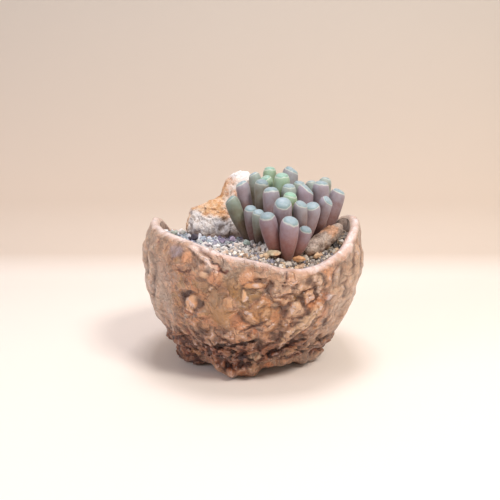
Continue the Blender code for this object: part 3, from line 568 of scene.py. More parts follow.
def stoneware(settings):
    """Iron-bearing stoneware, built by hand from torn clay and wiped with a clear glaze.

    Each lump of clay has a tone of its own and wash stays dark in the creases between them. Hollows
    are painted darker as shade; raised clay is painted lighter, partly as clay rubbed back to peach
    and cream and partly as painted highlight, under painted glints; a painted highlight runs along
    the rim's crest, the torn clay low down is kept dark partly as painted shade, and the glaze
    shines wet all over.
    """
    material, add, place = new_material("glazed_stoneware")
    hollow, crease, crag, rim, crest, blush, lump, flake = stored(
        add, "hollow", "crease", "crag", "rim", "crest", "blush", "lump", "flake")
    stain = add("attribute", attribute_name="stain").outputs
    bent = warped_place(add, place, 5, 2.4)
    clouds = add("noise", bent, 1 / (8 * MM), 6, 0.62)
    spots = add("noise", bent, 1 / (3.2 * MM), 5, 0.6)
    folds = add("absolute", add("subtract", add("noise", bent, 1 / (4.2 * MM), 4, 0.5), 0.5))
    grains = add("noise", place, 1 / (1.1 * MM), 4, 0.7)

    # Clay above is tan with peach, orange, ochre and grey lumps; on the flanks it is paler
    clay = add("ramp", clouds, stops={
        30: "#8A5A2C", 38: "#AE7A40", 45: "#BC8A62", 51: "#A68A72", 57: "#CC8A5A", 64: "#B09A8A",
        74: "#D6A480"})
    lumps = add("ramp", lump, stops={
        0: "#7A4A28", 12: "#B9865A", 25: "#DC9868", 36: "#A07A38", 47: "#B3937C", 57: "#D2824A",
        68: "#A79A8E", 78: "#E8B48A", 88: "#8C5E36"})
    pale = add("ramp", clouds, stops={
        32: "#A27C62", 42: "#BC967C", 50: "#AE9886", 58: "#C69E86", 66: "#B6A294", 74: "#CDAE9C"})
    # Clay below is torn, from near black to cream, and is kept dark partly as painted shade low on the
    # pot
    crags = add("ramp", flake, stops={
        0: "#28140E", 14: "#62301B", 28: "#8A5532", 40: "#341A14", 52: "#A46E44", 61: "#642F1C",
        71: "#D6AE8A", 77: "#471F17", 90: "#8C5634"})
    for patches in (lumps, crags):
        patches.color_ramp.interpolation = "CONSTANT"
    torn = add("ramp", spots, stops={36: "#28130C", 48: "#663520", 62: "#AC7A50"})
    crags = add("tint", 1.0, add("mix", 0.4, crags, torn), "#CE9070")
    body = add("tint", 1.0, add("mix", 0.55, clay, lumps), "#F2EAE6")
    body = layered(
        add, body, (add("multiply", blush, 0.85), pale), (add("multiply", crag, 0.95), crags))
    body = add("overlay", 0.62, body, add("ramp", spots, stops={32: 0.16, 50: 0.48, 68: 0.84}))

    # The rim is wiped bare: paler and pinker, with a lilac haze that is partly painted sheen, and a
    # painted highlight runs along its crest
    rim_tone_and_sheen = add("ramp", add("noise", bent, 1 / (5 * MM), 4, 0.6), stops={
        34: "#C49880", 46: "#D6AE9C", 56: "#E0C2B6", 68: "#EADAD8"})
    broken = add("range", add("noise", bent, 1 / (3 * MM), 3, 0.6), 0.4, 0.6, 0.2, 0.9)
    # Marks in the clay have ragged edges
    ragged_edge = add("range", grains, 0.3, 0.55, 0.6, 1.1)
    body = layered(
        add, body, (add("multiply", rim, 0.7), rim_tone_and_sheen), (add("multiply", crest, broken), "#F6ECEE"),
        (add("multiply", ragged_edge, stain["Alpha"], use_clamp=True), stain["Color"]))
    body = add("overlay", 0.25, body, add("ramp", grains, stops={30: 0.30, 50: 0.52, 70: 0.78}))

    # Wash stays in creases; hollows are painted darker as shade, and raised clay is painted lighter,
    # partly its bare colour and partly painted highlight, with painted glints
    line = add("range", folds, 0.004, 0.032, 0.7, 0.0)
    for share in (
        add("range", add("noise", place, 1 / (6 * MM), 2, 0.6), 0.47, 0.55),
        add("range", blush, 0.0, 1.0, 1.0, 0.5),
        add("range", rim, 0.0, 1.0, 1.0, 0.1),
    ):
        line = add("multiply", line, share)
    line = add("maximum", line, add("multiply", crease, 0.7))
    # Painted glints: pale lilac spots on raised clay, fewer on the crags
    painted_glints = add("range", add("noise", bent, 1 / (2.2 * MM), 3, 0.6), 0.52, 0.60)
    painted_glints = add("multiply", painted_glints, add("range", hollow, -0.12, -0.4, 0.0, 0.55))
    painted_glints = add("multiply", painted_glints, add("range", crag, 0.0, 1.0, 1.0, 0.35))
    # Raised clay: peach above and rust below, partly bare clay and partly painted highlight; hollows
    # get painted shade
    bare_and_highlight = add("mix", crag, "#E8BC96", "#B4744A")
    body = layered(
        add, body, (add("range", hollow, -0.06, -0.45, 0.0, 0.5), bare_and_highlight),
        (add("range", hollow, 0.03, 0.5, 0.0, 0.76), "#482416"), (line, "#5A2818"), (painted_glints, "#E0D0D2"))

    heights = add("multiply", add("range", folds, 0.0, 0.06), 0.35)
    for pattern, share in ((spots, 1.2), (grains, 0.2)):
        heights = add("add", heights, add("multiply", pattern, share))
    heights = add("multiply", heights, add("range", rim, 0.0, 1.0, 1.0, 0.4))
    finish_material(add, body, add("range", rim, 0.0, 1.0, 0.42, 0.3), heights, 1.0, 1.0, IOR=1.5,
                    Coat_Weight=settings.glaze, Coat_Roughness=0.1)
    return material


def potting_soil():
    """Dark mineral potting soil: crumbs of peat about 3 mm across, dull all over."""
    material, add, place = new_material("potting_soil")
    crumbs = add("noise", place, 1 / (3 * MM), 6, 0.6)
    colour = add("ramp", crumbs, stops={35: "#241A14", 55: "#4A382C", 72: "#8A7460"})
    finish_material(add, colour, 0.92, crumbs, 0.8, 1.0)
    return material


def crushed_grit():
    """Washed, crushed grit of mixed stone: each chip has one dry colour and a little grain of its own.

    Blue-grey and purple chips lie to the left and back, and cream and tan ones to the front; a painted
    shadow darkens the chips between the pebble and the rim.
    """
    material, add, place = new_material("crushed_grit")
    chip, = stored(add, "chip")
    cool = add("ramp", chip, stops={
        0: "#524E56", 10: "#706C80", 20: "#8C8EA8", 32: "#A8B4C0", 44: "#7A708A", 54: "#B4BCCA",
        66: "#98AAB0", 76: "#D2D4DA", 89: "#F0F0F2"})
    warm = add("ramp", chip, stops={
        0: "#6E645C", 10: "#8C8C98", 22: "#B8B0A8", 34: "#D0C6BA", 48: "#EEE4D6", 60: "#AEA6A0",
        70: "#DCC0A0", 80: "#F2ECE4", 92: "#C4A488"})
    for chips in (cool, warm):
        chips.color_ramp.interpolation = "CONSTANT"
    parts = add("ShaderNodeSeparateXYZ", place).outputs
    to_front = add("subtract", add("multiply", parts[0], 0.7), parts[1])
    grain = add("noise", place, 1 / (0.9 * MM), 4, 0.65)
    # Painted shadow: chips near it, all but the palest, are darkened
    away = add("vector distance", place, np.array(PAINTED_SHADOW_MIDDLE) * MM)
    dark = add("multiply", add("range", away, 5 * MM, 10 * MM, 0.85, 0.0), add("less_than", chip, 0.72))
    colour = layered(add, cool, (add("range", to_front, 0 * MM, 34 * MM), warm), (dark, "#25222A"))
    finish_material(add, add("overlay", 0.5, colour, grain), 0.6, grain, 0.4, 0.3)
    return material


def weathered_rock():
    """Iron-stained sandstone: a rusty ridge, a rough cream face, peach shoulders and a chalky cap."""
    material, add, place = new_material("weathered_sandstone")
    hollow, ridge, peach, chalk, brown = stored(add, "hollow", "ridge", "peach", "chalk", "brown")
    bent = warped_place(add, place, 3, 1.2)
    stains = add("noise", bent, 1 / (4.5 * MM), 6, 0.65)
    fine = add("noise", place, 1 / (1.0 * MM), 5, 0.75)
    specks = add("noise", bent, 1 / (1.6 * MM), 5, 0.7)
    face, rust, skin, foot = (add("ramp", stains, stops=stops) for stops in (
        {30: "#C9B4A4", 40: "#E2D8D0", 52: "#F2ECE8", 68: "#FAF8F6"},
        {32: "#B8804E", 44: "#D8A272", 54: "#E8BE98", 68: "#F2DCC6"},
        {32: "#D29A6E", 43: "#EAB898", 52: "#F4D6C2", 64: "#FAEEE6"},
        {32: "#7E5E44", 50: "#AC8A70", 68: "#D0BAA6"},
    ))
    colour = layered(
        add, face, (peach, skin), (ridge, rust), (brown, foot),
        (add("range", specks, 0.43, 0.35, 0.0, 0.5), "#A07A5C"),
        (add("range", hollow, 0.15, 0.9, 0.0, 0.5), "#94765E"), (chalk, "#FAF6F4"))
    colour = add("overlay", 0.7, colour, add("ramp", fine, stops={30: 0.25, 50: 0.53, 70: 0.8}))
    heights = add("add", fine, add("multiply", specks, 1.5))
    finish_material(add, colour, 0.75, heights, 1.0, 0.6)
    return material


def river_pebble():
    """A water-worn pebble of jasper: grey-tan and rough, flushed orange, and browner near the grit as
    painted shade.
    """
    material, add, place = new_material("jasper_pebble")
    flush, damp = stored(add, "flush", "damp")
    clouds = add("noise", warped_place(add, place, 3, 1.0), 1 / (3.5 * MM), 5, 0.6)
    fine = add("noise", place, 1 / (0.9 * MM), 4, 0.7)
    colour = add("ramp", clouds, stops={
        34: "#928074", 44: "#A29084", 53: "#B2A296", 62: "#A8907E", 72: "#C2B4A8"})
    colour = layered(add, colour, (flush, "#C88A5C"), (damp, "#7A5034"))
    colour = add("overlay", 0.8, colour, add("ramp", fine, stops={30: 0.25, 50: 0.5, 70: 0.8}))
    finish_material(add, colour, 0.6, fine, 0.9, 0.5)
    return material


def loose_chippings():
    """Larger chips of crushed stone: matt, each in its own colour, with a fine grain."""
    material, add, place = new_material("loose_chippings")
    own = add("attribute", attribute_name="colour").outputs["Color"]
    fine = add("noise", place, 1 / (1.0 * MM), 5, 0.7)
    colour = add("overlay", 0.6, own, add("ramp", fine, stops={30: 0.25, 50: 0.52, 70: 0.8}))
    finish_material(add, colour, 0.6, fine, 0.6, 0.4)
    return material


def succulent_leaf(settings):
    """A fleshy leaf under a waxy bloom: mauve sides, redder at the base and darker there partly as
    painted shade, and a clear window on top.

    The bloom scatters light at grazing angles, the flesh lets a little light through, and the
    window is smoother than the sides and edged with a pale line.
    """
    material, add, place = new_material("succulent_leaf")
    edge, share, green, flush, light = stored(add, "edge", "share", "green", "flush", "light")
    clouds = add("noise", place, 1 / (4 * MM), 3, 0.5)
    flecks = add("noise", place, 1 / (1.2 * MM), 3, 0.6)
    wander = add("range", clouds, 0.3, 0.7, -0.12, 0.12)

    # Sides, from the base to the shoulder: darker toward the base, partly its own redder colour and
    # partly painted shade
    along = add("add", share, wander)
    mauve, red, fresh = (add("ramp", along, stops=stops) for stops in (
        {10: "#4C2E28", 40: "#725454", 68: "#887680", 92: "#9E98A8"},
        {10: "#925C46", 40: "#A0665C", 68: "#98767A", 92: "#9C8A94"},
        {10: "#54442A", 42: "#706A3A", 70: "#84966A", 92: "#98B89A"},
    ))
    side = layered(add, mauve, (flush, red), (green, fresh))

    # Window: blue-green, or fresh green on young leaves, palest along its top
    down = add("add", edge, 1.0)
    glass, young = (add("ramp", down, stops=stops) for stops in (
        {20: "#A9BECC", 60: "#95ACB6", 100: "#86A0A2"},
        {20: "#9CC4BC", 60: "#8EBCA6", 100: "#80AE8E"},
    ))
    window = add("overlay", 0.15, add("mix", add("range", green, 0.5, 1.1), glass, young), flecks)

    # The window's edge wanders over a few millimetres, under a pale line
    border = add("add", edge, wander)
    inside = add("range", border, -0.03, 0.03, 1.0, 0.0)
    line = add("range", add("absolute", border), 0.02, 0.11, 0.6, 0.0)
    bloom = add("range", flecks, 0.35, 0.7, 0.03, settings.bloom)
    skin = layered(add, side, (inside, window), (line, "#DAE0D6"), (bloom, "#C4BCC2"))
    # Root and crown, under the grit, are brown
    skin = add("mix", add("less_than", share, -0.5), add("tint", 1.0, skin, light), "#6A4C38")
    finish_material(add, skin, add("range", inside, 0.0, 1.0, 0.5, 0.34), flecks, 0.12, 0.3, IOR=1.4,
                    Subsurface_Weight=0.2, Subsurface_Radius=(1.0, 0.7, 0.5),
                    Subsurface_Scale=1.2 * MM, Sheen_Weight=0.12, Sheen_Roughness=0.5)
    return material


# Meshes

def linked(name, data):
    """A new object in the scene for a mesh, a lamp or a camera."""
    made = bpy.data.objects.new(name, data)
    bpy.context.scene.collection.objects.link(made)
    return made


def mesh_object(name, vertices, faces, edges=()):
    mesh = bpy.data.meshes.new(name)
    mesh.from_pydata(np.asarray(vertices).reshape(-1, 3).tolist(), edges, faces)
    mesh.update()
    return linked(name, mesh)


def built_object(name, builder):
    """The object whose mesh a builder holds."""
    mesh = bpy.data.meshes.new(name)
    builder.to_mesh(mesh)
    builder.free()
    return linked(name, mesh)


def close_hull(builder, corners):
    """Keep the corners' convex hull."""
    hull = bmesh.ops.convex_hull(builder, input=corners)
    bmesh.ops.delete(builder, geom=list(set(hull["geom_interior"])), context="VERTS")


def quads(sides, rows, closed):
    """Faces between columns of points that stand round in a ring, each of so many rows."""
    faces = []
    for side in range(sides):
        here, there = side * rows, (side + 1) % sides * rows
        for low in range(rows if closed else rows - 1):
            high = (low + 1) % rows
            faces.append((here + low, there + low, there + high, here + high))
    return faces


def set_attribute(mesh, name, values, kind="FLOAT"):
    """Store values, one for each point of the mesh, for the material or the nodes to read."""
    attribute = mesh.attributes.new(name, kind, "POINT")
    key = {"FLOAT": "value", "FLOAT_VECTOR": "vector", "FLOAT_COLOR": "color"}[kind]
    attribute.data.foreach_set(key, np.asarray(values, np.float32).ravel())


def place_piece(piece, slot, *nodes):
    """Attach a finished piece to the body it rides on, and hide the solids that it stands for."""
    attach(piece, BODY)
    if nodes:
        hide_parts(*nodes)


def new_tree(name, **numbers):
    """A Geometry Nodes tree with a geometry input and output and named number inputs."""
    tree = bpy.data.node_groups.new(name, "GeometryNodeTree")
    tree.interface.new_socket("Geometry", in_out="OUTPUT", socket_type="NodeSocketGeometry")
    tree.interface.new_socket("Geometry", in_out="INPUT", socket_type="NodeSocketGeometry")
    for label, value in numbers.items():
        kind = "NodeSocketInt" if isinstance(value, int) else "NodeSocketFloat"
        socket = tree.interface.new_socket(label, in_out="INPUT", socket_type=kind)
        socket.default_value = value
    return tree


def apply_tree(piece, tree, **numbers):
    """Run a tree on a piece with these inputs, and keep the result as its plain mesh."""
    modifier = piece.modifiers.new(tree.name, "NODES")
    modifier.node_group = tree
    for socket in tree.interface.items_tree:
        if socket.in_out == "INPUT" and socket.name in numbers:
            modifier[socket.identifier] = numbers[socket.name]
    view = bpy.context.evaluated_depsgraph_get()
    mesh = bpy.data.meshes.new_from_object(piece.evaluated_get(view))
    piece.modifiers.clear()
    old = piece.data
    piece.data = mesh
    bpy.data.meshes.remove(old)
    mesh.name = piece.name


# Pot

def footing(azimuth):
    """1 over a foot, 0 between the feet."""
    away = np.min([degrees_between(azimuth, foot) for foot in FOOT_AZIMUTHS], axis=0)
    return fall(FOOT_FLAT_HALF_ANGLE, FOOT_HALF_ANGLE, away)


def slab(azimuth, height):
    """How far the overlapping slab stands proud of the clay beside it."""
    along = (height - SLAB_TOP[1]) / (SLAB_BOTTOM[1] - SLAB_TOP[1])
    edge = SLAB_TOP[0] + (SLAB_BOTTOM[0] - SLAB_TOP[0]) * along
    left_of_edge = step(0.0, 4.0, edge - azimuth) * fall(18.0, 40.0, edge - azimuth)
    return SLAB_PROUD * left_of_edge * fall(1.0, 1.5, along) * step(-0.6, 0.0, along)


def clay_lumps(azimuth, height):
    """How far the solid pot's outside stands out from its turned shape."""
    spots = polar(DRUM_RADIUS, azimuth, height) + np.array(LUMP_SHIFT) / MM
    out = 0
    for size, rise in (BROAD_LUMP, KNUCKLE_LUMP):
        out = out + rise * waves(spots, size)
    size, rise = CRAG_LUMP
    craggy = fall(0.4 * CRAG_TOP, CRAG_TOP, height)
    out = out + rise * craggy * (waves(spots * (1, 1, 1.6), size) - 0.2)
    drawn_in = DRAWN_IN * (1 - footing(azimuth)) * fall(UNDERSIDE, DRAWN_IN_TOP, height)
    return out + slab(azimuth, height) - drawn_in


def turned_radius(azimuth, height):
    return smooth(POT_PROFILE, height) + smooth(POT_LEAN, height) * np.cos(np.radians(azimuth))


def rim_thickness(azimuth):
    horn = step(HORN_FROM, HORN_TO, smooth(RIM_CREST, azimuth, 360))
    return RIM_THICKNESS + (HORN_THICKNESS - RIM_THICKNESS) * horn


def rim_seat(azimuth):
    """Radius and height of the centre of the rim's round."""
    half = rim_thickness(azimuth) / 2
    height = smooth(RIM_CREST, azimuth, 360) - half
    return turned_radius(azimuth, height) - half, height


def creased(spots, size):
    """Round lumps size mm across with a sharp crease between them: 0 in the crease, up to 0.6."""
    return np.abs(waves(spots, size, size))


def clay_cells(spots, size):
    """Lumps about size mm across: 0 in the crease round each, its tone (0 to 1), and its own slant."""
    creases, tones, slants = [], [], []
    for spot in (spots.reshape(-1, 3) / size).tolist():
        distances, points = noise.voronoi(spot)
        own = points[0] * 7.3
        lean = Vector((noise.cell(own + Vector((3, 0, 0))), noise.cell(own + Vector((0, 3, 0))),
                       noise.cell(own + Vector((0, 0, 3)))))
        creases.append(distances[1] - distances[0])
        tones.append(0.5 + 0.5 * noise.cell(own))
        slants.append((Vector(spot) - points[0]).dot(lean))
    return (np.array(values).reshape(spots.shape[:-1]) for values in (creases, tones, slants))


def torn_clay(azimuth, height, bottom, top):
    """Fine relief of the outside, and how craggy, creased and toned it is.

    Torn crags lie below, pinched lumps above, drapes on the flanks and a smoothed roll at the foot.
    """
    spots = polar(DRUM_RADIUS, azimuth, height)
    warp = 2.6 * pushes(spots / 6) + 0.9 * pushes(spots / 2.4)
    spots = spots + warp
    wander = waves(spots, 9)
    # Crags end lower on the front right
    lower = 5 * step(-80, -50, azimuth) * fall(10, 60, azimuth)
    craggy = fall(13, 27, height + 9 * wander + lower)
    at_foot = fall(3.5, 7.0, height - bottom + 3 * wander)
    roll = at_foot * fall(50, 68, degrees_between(azimuth, ROLL))
    craggy = craggy * (1 - 0.85 * roll)
    near_rim = step(-4.5, -1.5, height - top)
    smoothed = step(20, 30, height + 4 * wander)
    smoothed = smoothed * fall(28, 42, degrees_between(azimuth, SMOOTHED))
    calm_right = step(-66, -46, azimuth) * fall(0, 30, azimuth)
    left_flank = fall(14, 32, degrees_between(azimuth, LEFT_FLANK))
    right_flank = fall(10, 28, degrees_between(azimuth, RIGHT_FLANK))
    flank = np.maximum(left_flank, right_flank) * (1 - craggy)

    # Cells of the clay, and where the broad and the small ones show
    broad, lump, _ = clay_cells(spots * (1, 1, 1.2), LUMP_SIZE)
    small, nub, slant = clay_cells(spots * (1, 1, 1.25), KNOB_SIZE)
    torn_spots = spots + 2.2 * pushes(spots / 4 + 70)
    shard, flake, tip = clay_cells(torn_spots * (1, 1, 1.35), FLAKE_SIZE)
    here = step(-0.1, 0.3, waves(spots, 8, 20))
    there = step(-0.15, 0.25, waves(spots, 7, 50))

    # Relief
    knobs = 0.6 * there * step(0, 0.4, broad) + 0.4 * here * step(0, 0.4, small) + 0.4 * slant - 0.45
    knobs += 1.2 * waves(spots, 6, 7) + 0.25 * waves(spots, 2.6)
    knobs *= 1 - 0.75 * smoothed - 0.35 * calm_right
    crags = 0.6 * step(0, 0.35, shard) + 1.5 * tip - 1.3 + 0.5 * waves(spots, 2.4, 3)
    crags += 2.6 * creased(torn_spots * (1, 1, 1.8), 7)
    crevices = fall(0.015, 0.10, creased(spots * (1, 1, 2.6), 15))
    crags -= 1.4 * crevices * step(-0.1, 0.15, wander)
    slanted = np.stack(
        np.broadcast_arrays(azimuth * 0.35 - height * 0.22, height * 0.13, 0 * height), -1)
    drapes = 2.4 * creased(slanted + 0.3 * warp, 3.2) + 0.5 * creased(spots, 3.4) - 0.7
    out = craggy * crags + (1 - craggy) * ((1 - flank) * knobs + flank * drapes)

    # Creases
    crease = np.maximum(there * fall(0.0, 0.06, broad), here * fall(0.0, 0.09, small))
    crease = crease * step(-0.1, 0.25, waves(spots, 3.5, 50))
    crease = crease * (1 - np.maximum(np.maximum(0.7 * flank, smoothed), 0.55 * calm_right))
    torn = fall(0.0, 0.10, shard) * step(-0.15, 0.15, waves(spots, 3, 60))
    crease = (1 - craggy) * crease + craggy * torn
    tone = np.where(here * step(0.0, 0.05, small) > 0.5, nub, lump)
    calm = (1 - 0.75 * near_rim) * (1 - 0.7 * roll)
    return out * calm, craggy, crease * calm, tone, flake


def ragged(azimuth, height):
    """The azimuth and height pushed about, so that what is drawn with them gets torn edges."""
    spots = polar(DRUM_RADIUS, azimuth, height)
    push = 1.5 * pushes(spots / 3.6 + 9) + 0.7 * pushes(spots / 1.5 + 9)
    return azimuth + push[..., 0] / GIRTH, height + push[..., 2]


def paint_marks(azimuth, height):
    """Relief and stain of the marks and lines, and the marks' outlines."""
    azimuth, height = ragged(azimuth, height)
    out, cover, outline = (np.zeros(height.shape) for _ in range(3))
    colour = np.zeros(height.shape + (3,))

    def across_from(middle):
        return ((azimuth - middle + 180) % 360 - 180) * GIRTH

    def lay(mask, ring, rise, code, strength):
        nonlocal out, colour, cover, outline
        out = out + rise * mask - 0.35 * abs(rise) * ring
        outline = np.maximum(outline * (1 - mask), 0.6 * ring * float(step(0.3, 0.6, rise)))
        alpha = strength * mask
        colour = colour * (1 - alpha[..., None]) + np.array(linear(code)) * alpha[..., None]
        cover = cover * (1 - alpha) + alpha

    for (middle, level), (half_width, half_height), turn, rise, code, strength in MARKS.values():
        across, up, angle = across_from(middle), height - level, math.radians(turn)
        u = (across * math.cos(angle) + up * math.sin(angle)) / half_width
        v = (up * math.cos(angle) - across * math.sin(angle)) / half_height
        reach = np.sqrt(u * u + v * v)
        ring = np.exp(-((reach - 1.3) / 0.22) ** 2)
        lay(fall(0.5, 1.3, reach), ring, rise, code, strength)
    for points, half_width, rise, code, strength in LINES.values():
        away = np.full(height.shape, 1e3)
        for start, end in zip(points, points[1:]):
            run = np.array([(end[0] - start[0]) * GIRTH, end[1] - start[1]])
            across, up = across_from(start[0]), height - start[1]
            share = np.clip((across * run[0] + up * run[1]) / (run @ run), 0, 1)
            away = np.minimum(away, np.hypot(across - share * run[0], up - share * run[1]))
        mask = fall(0.3 * half_width, 1.5 * half_width, away)
        lay(mask, np.zeros(height.shape), rise, code, strength)
    safe = np.maximum(cover, 1e-6)[..., None]
    broken = step(-0.25, 0.15, waves(polar(DRUM_RADIUS, azimuth, height), 2.5))
    return out, np.concatenate([colour / safe, cover[..., None]], -1), outline * broken


def blurred(field, reach):
    """The mean of a field over a square of that many cells each way; it wraps round the pot."""
    wide = np.pad(field, ((reach, reach), (0, 0)), mode="wrap")
    wide = np.pad(wide, ((0, 0), (reach, reach)), mode="edge")
    total = np.cumsum(np.cumsum(np.pad(wide, ((1, 0), (1, 0))), 0), 1)
    size = 2 * reach + 1
    sums = total[size:, size:] - total[:-size, size:] - total[size:, :-size] + total[:-size, :-size]
    return sums / size**2


def kept_inside(values, low, high):
    """Values squeezed near low and high so that they never pass them."""
    over = np.maximum(values - (high - BOX_EASE), 0)
    under = np.maximum(low + BOX_EASE - values, 0)
    less_over, less_under = (BOX_EASE * (1 - np.exp(-part / BOX_EASE)) for part in (over, under))
    return values - over + less_over + under - less_under


def make_pot(settings):
    azimuth = np.linspace(-180, 180, POT_SIDES, endpoint=False)[:, None]
    foot = footing(azimuth)
    bottom = UNDERSIDE * (1 - foot)
    half = rim_thickness(azimuth) / 2
    seat_radius, seat_height = rim_seat(azimuth)
    height = bottom + (seat_height - bottom) * np.linspace(0, 1, POT_ROWS)[None, :]
    angles = np.pi * np.arange(1, RIM_ROWS)[None, :] / RIM_ROWS

    # The clay's pattern runs on over the rim, by the length of its round
    unrolled = np.concatenate([height, seat_height + half * angles], axis=1)
    around = np.broadcast_to(azimuth, unrolled.shape)
    relief, craggy, crease, tone, flake = torn_clay(around, unrolled, bottom, seat_height)
    marks, stain, outline = paint_marks(around, unrolled)
    relief = settings.relief * relief + marks
    relief *= 1 - 0.7 * step(seat_height - 2, seat_height + half, unrolled)
    # How far each place lies under the mean relief round it: the colours paint shade into hollows and
    # highlight where the clay stands out
    hollow = (blurred(relief, HOLLOW_REACH) - relief) / 0.9
    over_rim = relief[:, POT_ROWS:]
    relief = relief[:, :POT_ROWS]
    fading = 1 - 0.6 * step(seat_height - 6, seat_height, height)
    above = np.maximum(FOOT_ROUND - (height - bottom), 0)
    worn = FOOT_ROUND - np.sqrt(np.maximum(FOOT_ROUND**2 - above**2, 0))
    lumps = clay_lumps(azimuth, height) * fading
    radius = turned_radius(azimuth, height) + lumps + relief - worn
    wall = polar(radius, azimuth, height)

    # Rim: the wall's last radius eases into the rim's round, whose top is pinched
    proud = radius[:, -1:] - relief[:, -1:] - seat_radius - half
    over_rim = over_rim * (1 - angles / np.pi)
    rim_radius = seat_radius + (half + over_rim) * np.cos(angles) + proud * (1 - angles / np.pi)
    rim_height = seat_height + (half + over_rim) * np.sin(angles)
    crest_spots = polar(rim_radius, azimuth, rim_height)
    pinched = 0.5 * waves(crest_spots, 6.5) + 0.14 * waves(crest_spots, 2.6)
    pinched *= 1 + 2 * fall(6, 16, degrees_between(azimuth, PINCHED))
    rim = polar(rim_radius + 1.2 * pinched * np.sin(angles), azimuth, rim_height + 1.1 * pinched - 0.4)

    # Inside, floor, drain hole and the ring that the feet end on
    heights = np.linspace(0, 1, INNER_ROWS)[None, :]
    inside_height = seat_height + (POT_INSIDE[0][0] - seat_height) * heights
    inside_radius = np.empty_like(inside_height)
    inner_radius = seat_radius - half
    for side in range(POT_SIDES):
        points = [*POT_INSIDE, (float(seat_height[side, 0]), float(inner_radius[side, 0]))]
        inside_radius[side] = np.interp(inside_height[side], *zip(*points))
    inside = polar(inside_radius, azimuth, inside_height)
    floor_radius = np.array([[DRAIN_RADIUS, DRAIN_RADIUS, FOOT_INNER_RADIUS - 3]])
    floor = polar(floor_radius, azimuth, np.array([[POT_INSIDE[0][0], UNDERSIDE, UNDERSIDE]]))
    ring = polar(FOOT_INNER_RADIUS, azimuth, bottom)
    grid = np.concatenate([wall, rim, inside, floor, ring], axis=1)
    for axis in (0, 1):
        low, high = (corner[axis] / MM for corner in CAD_BOX)
        grid[..., axis] = kept_inside(grid[..., axis], low, high)
    count = grid.shape[1]
    pot = mesh_object("pot_clay", grid * MM, quads(POT_SIDES, count, closed=True))
    pot.data.shade_smooth()

    # What colours the clay
    wobble = 1.2 * waves(polar(DRUM_RADIUS, around, unrolled), 4)
    wiped = step(0.4, 2.6, unrolled - seat_height + wobble)
    wiped = wiped * (1 - 0.25 * fall(8, 26, degrees_between(around, LESS_WIPED)))
    # A painted highlight along the top of the rim's round
    crest = np.exp(-((unrolled - seat_height - 1.5 * half) / 1.3) ** 2)
    to_flank = [degrees_between(around, flank) for flank in (LEFT_FLANK, RIGHT_BLUSH)]
    flanks = fall(20, 42, np.minimum(*to_flank))
    blush = np.maximum(flanks, 0.7 * step(-12, -2, unrolled - seat_height)) * (1 - craggy)
    crease = np.maximum(crease * (1 - stain[..., 3]), outline)
    # Each has a value for what is inside or below, too
    for name, values, rest in (
        ("rim", wiped, 0.4), ("crest", crest, 0.0), ("blush", blush, 0.3), ("hollow", hollow, 0.3),
        ("crag", craggy, 0.3), ("crease", crease, 0.0), ("lump", tone, 0.5), ("flake", flake, 0.5),
        ("stain", stain, 0.0),
    ):
        others = np.full((POT_SIDES, count - values.shape[1]) + values.shape[2:], rest)
        kind = "FLOAT_COLOR" if values.ndim > 2 else "FLOAT"
        set_attribute(pot.data, name, np.concatenate([values, others], 1), kind)
    pot.data.materials.append(stoneware(settings))
    place_piece(pot, "pot", "pot")


# Grit

def grit_level(x, y):
    """Height of the grit at a place inside the pot."""
    azimuth = np.degrees(np.arctan2(y, x))
    out = (np.hypot(x, y) / GRIT_RADIUS) ** GRIT_FALL
    return GRIT_MIDDLE + (smooth(GRIT_EDGE, azimuth, 360) - GRIT_MIDDLE) * out


def inside_radius_at(azimuth, height):
    """Radius of the pot's inner wall."""
    seat_radius, seat_height = rim_seat(azimuth)
    inner = seat_radius - rim_thickness(azimuth) / 2
    points = [*POT_INSIDE, (float(seat_height), float(inner))]
    return float(np.interp(height, *zip(*points)))


def grit_bed():
    """A closed disc of packed fines just under the grains, with how open to grains each point is."""
    vertices = []
    openness = []
    discs = low_leaf_discs()
    rows = [(ring, BED_DROP) for ring in range(1, GRIT_RINGS + 1)]
    rows += [(GRIT_RINGS, GRIT_DEPTH), (1, GRIT_DEPTH)]
    for azimuth in np.linspace(-180, 180, GRIT_SIDES, endpoint=False):
        edge_level = float(grit_level(*polar(GRIT_RADIUS, azimuth, 0.0)[:2]))
        edge = inside_radius_at(azimuth, edge_level) - WALL_GAP
        for ring, drop in rows:
            x, y, _ = polar(edge * ring / GRIT_RINGS, azimuth, 0.0)
            vertices.append((x, y, float(grit_level(x, y)) - drop))
            covered = any(math.hypot(x - disc_x, y - disc_y) < reach for disc_x, disc_y, reach in discs)
            openness.append(0.0 if covered or drop == GRIT_DEPTH else 1.0)
    column = len(rows)
    faces = [face[:1] + face[:0:-1] for face in quads(GRIT_SIDES, column, closed=False)]
    middle = float(grit_level(0.0, 0.0))
    top = len(vertices)
    vertices += [(0, 0, middle - BED_DROP), (0, 0, middle - GRIT_DEPTH)]
    openness += [1.0, 0.0]
    for side in range(GRIT_SIDES):
        here, there = side * column, (side + 1) % GRIT_SIDES * column
        faces += [(top, here, there), (top + 1, there + column - 1, here + column - 1)]
    bed = mesh_object("grit_dressing", np.array(vertices) * MM, faces)
    set_attribute(bed.data, "open", openness)
    set_attribute(bed.data, "chip", np.full(len(vertices), BED_CHIP))
    return bed


def low_leaf_discs():
    """Where leaves pass through the grit, as x, y, radius."""
    discs = []
    for _, base, tip, tip_radius, _, _ in grown_leaves():
        length = np.linalg.norm(tip - base)
        for share in np.arange(0, 0.4, 0.04):
            spot = bowed(base, tip, share)
            if spot[2] < float(grit_level(spot[0], spot[1])) + 0.5:
                reach = solid_leaf_radius(length * (1 - share), length, tip_radius)
                discs.append((spot[0], spot[1], reach))
    return discs


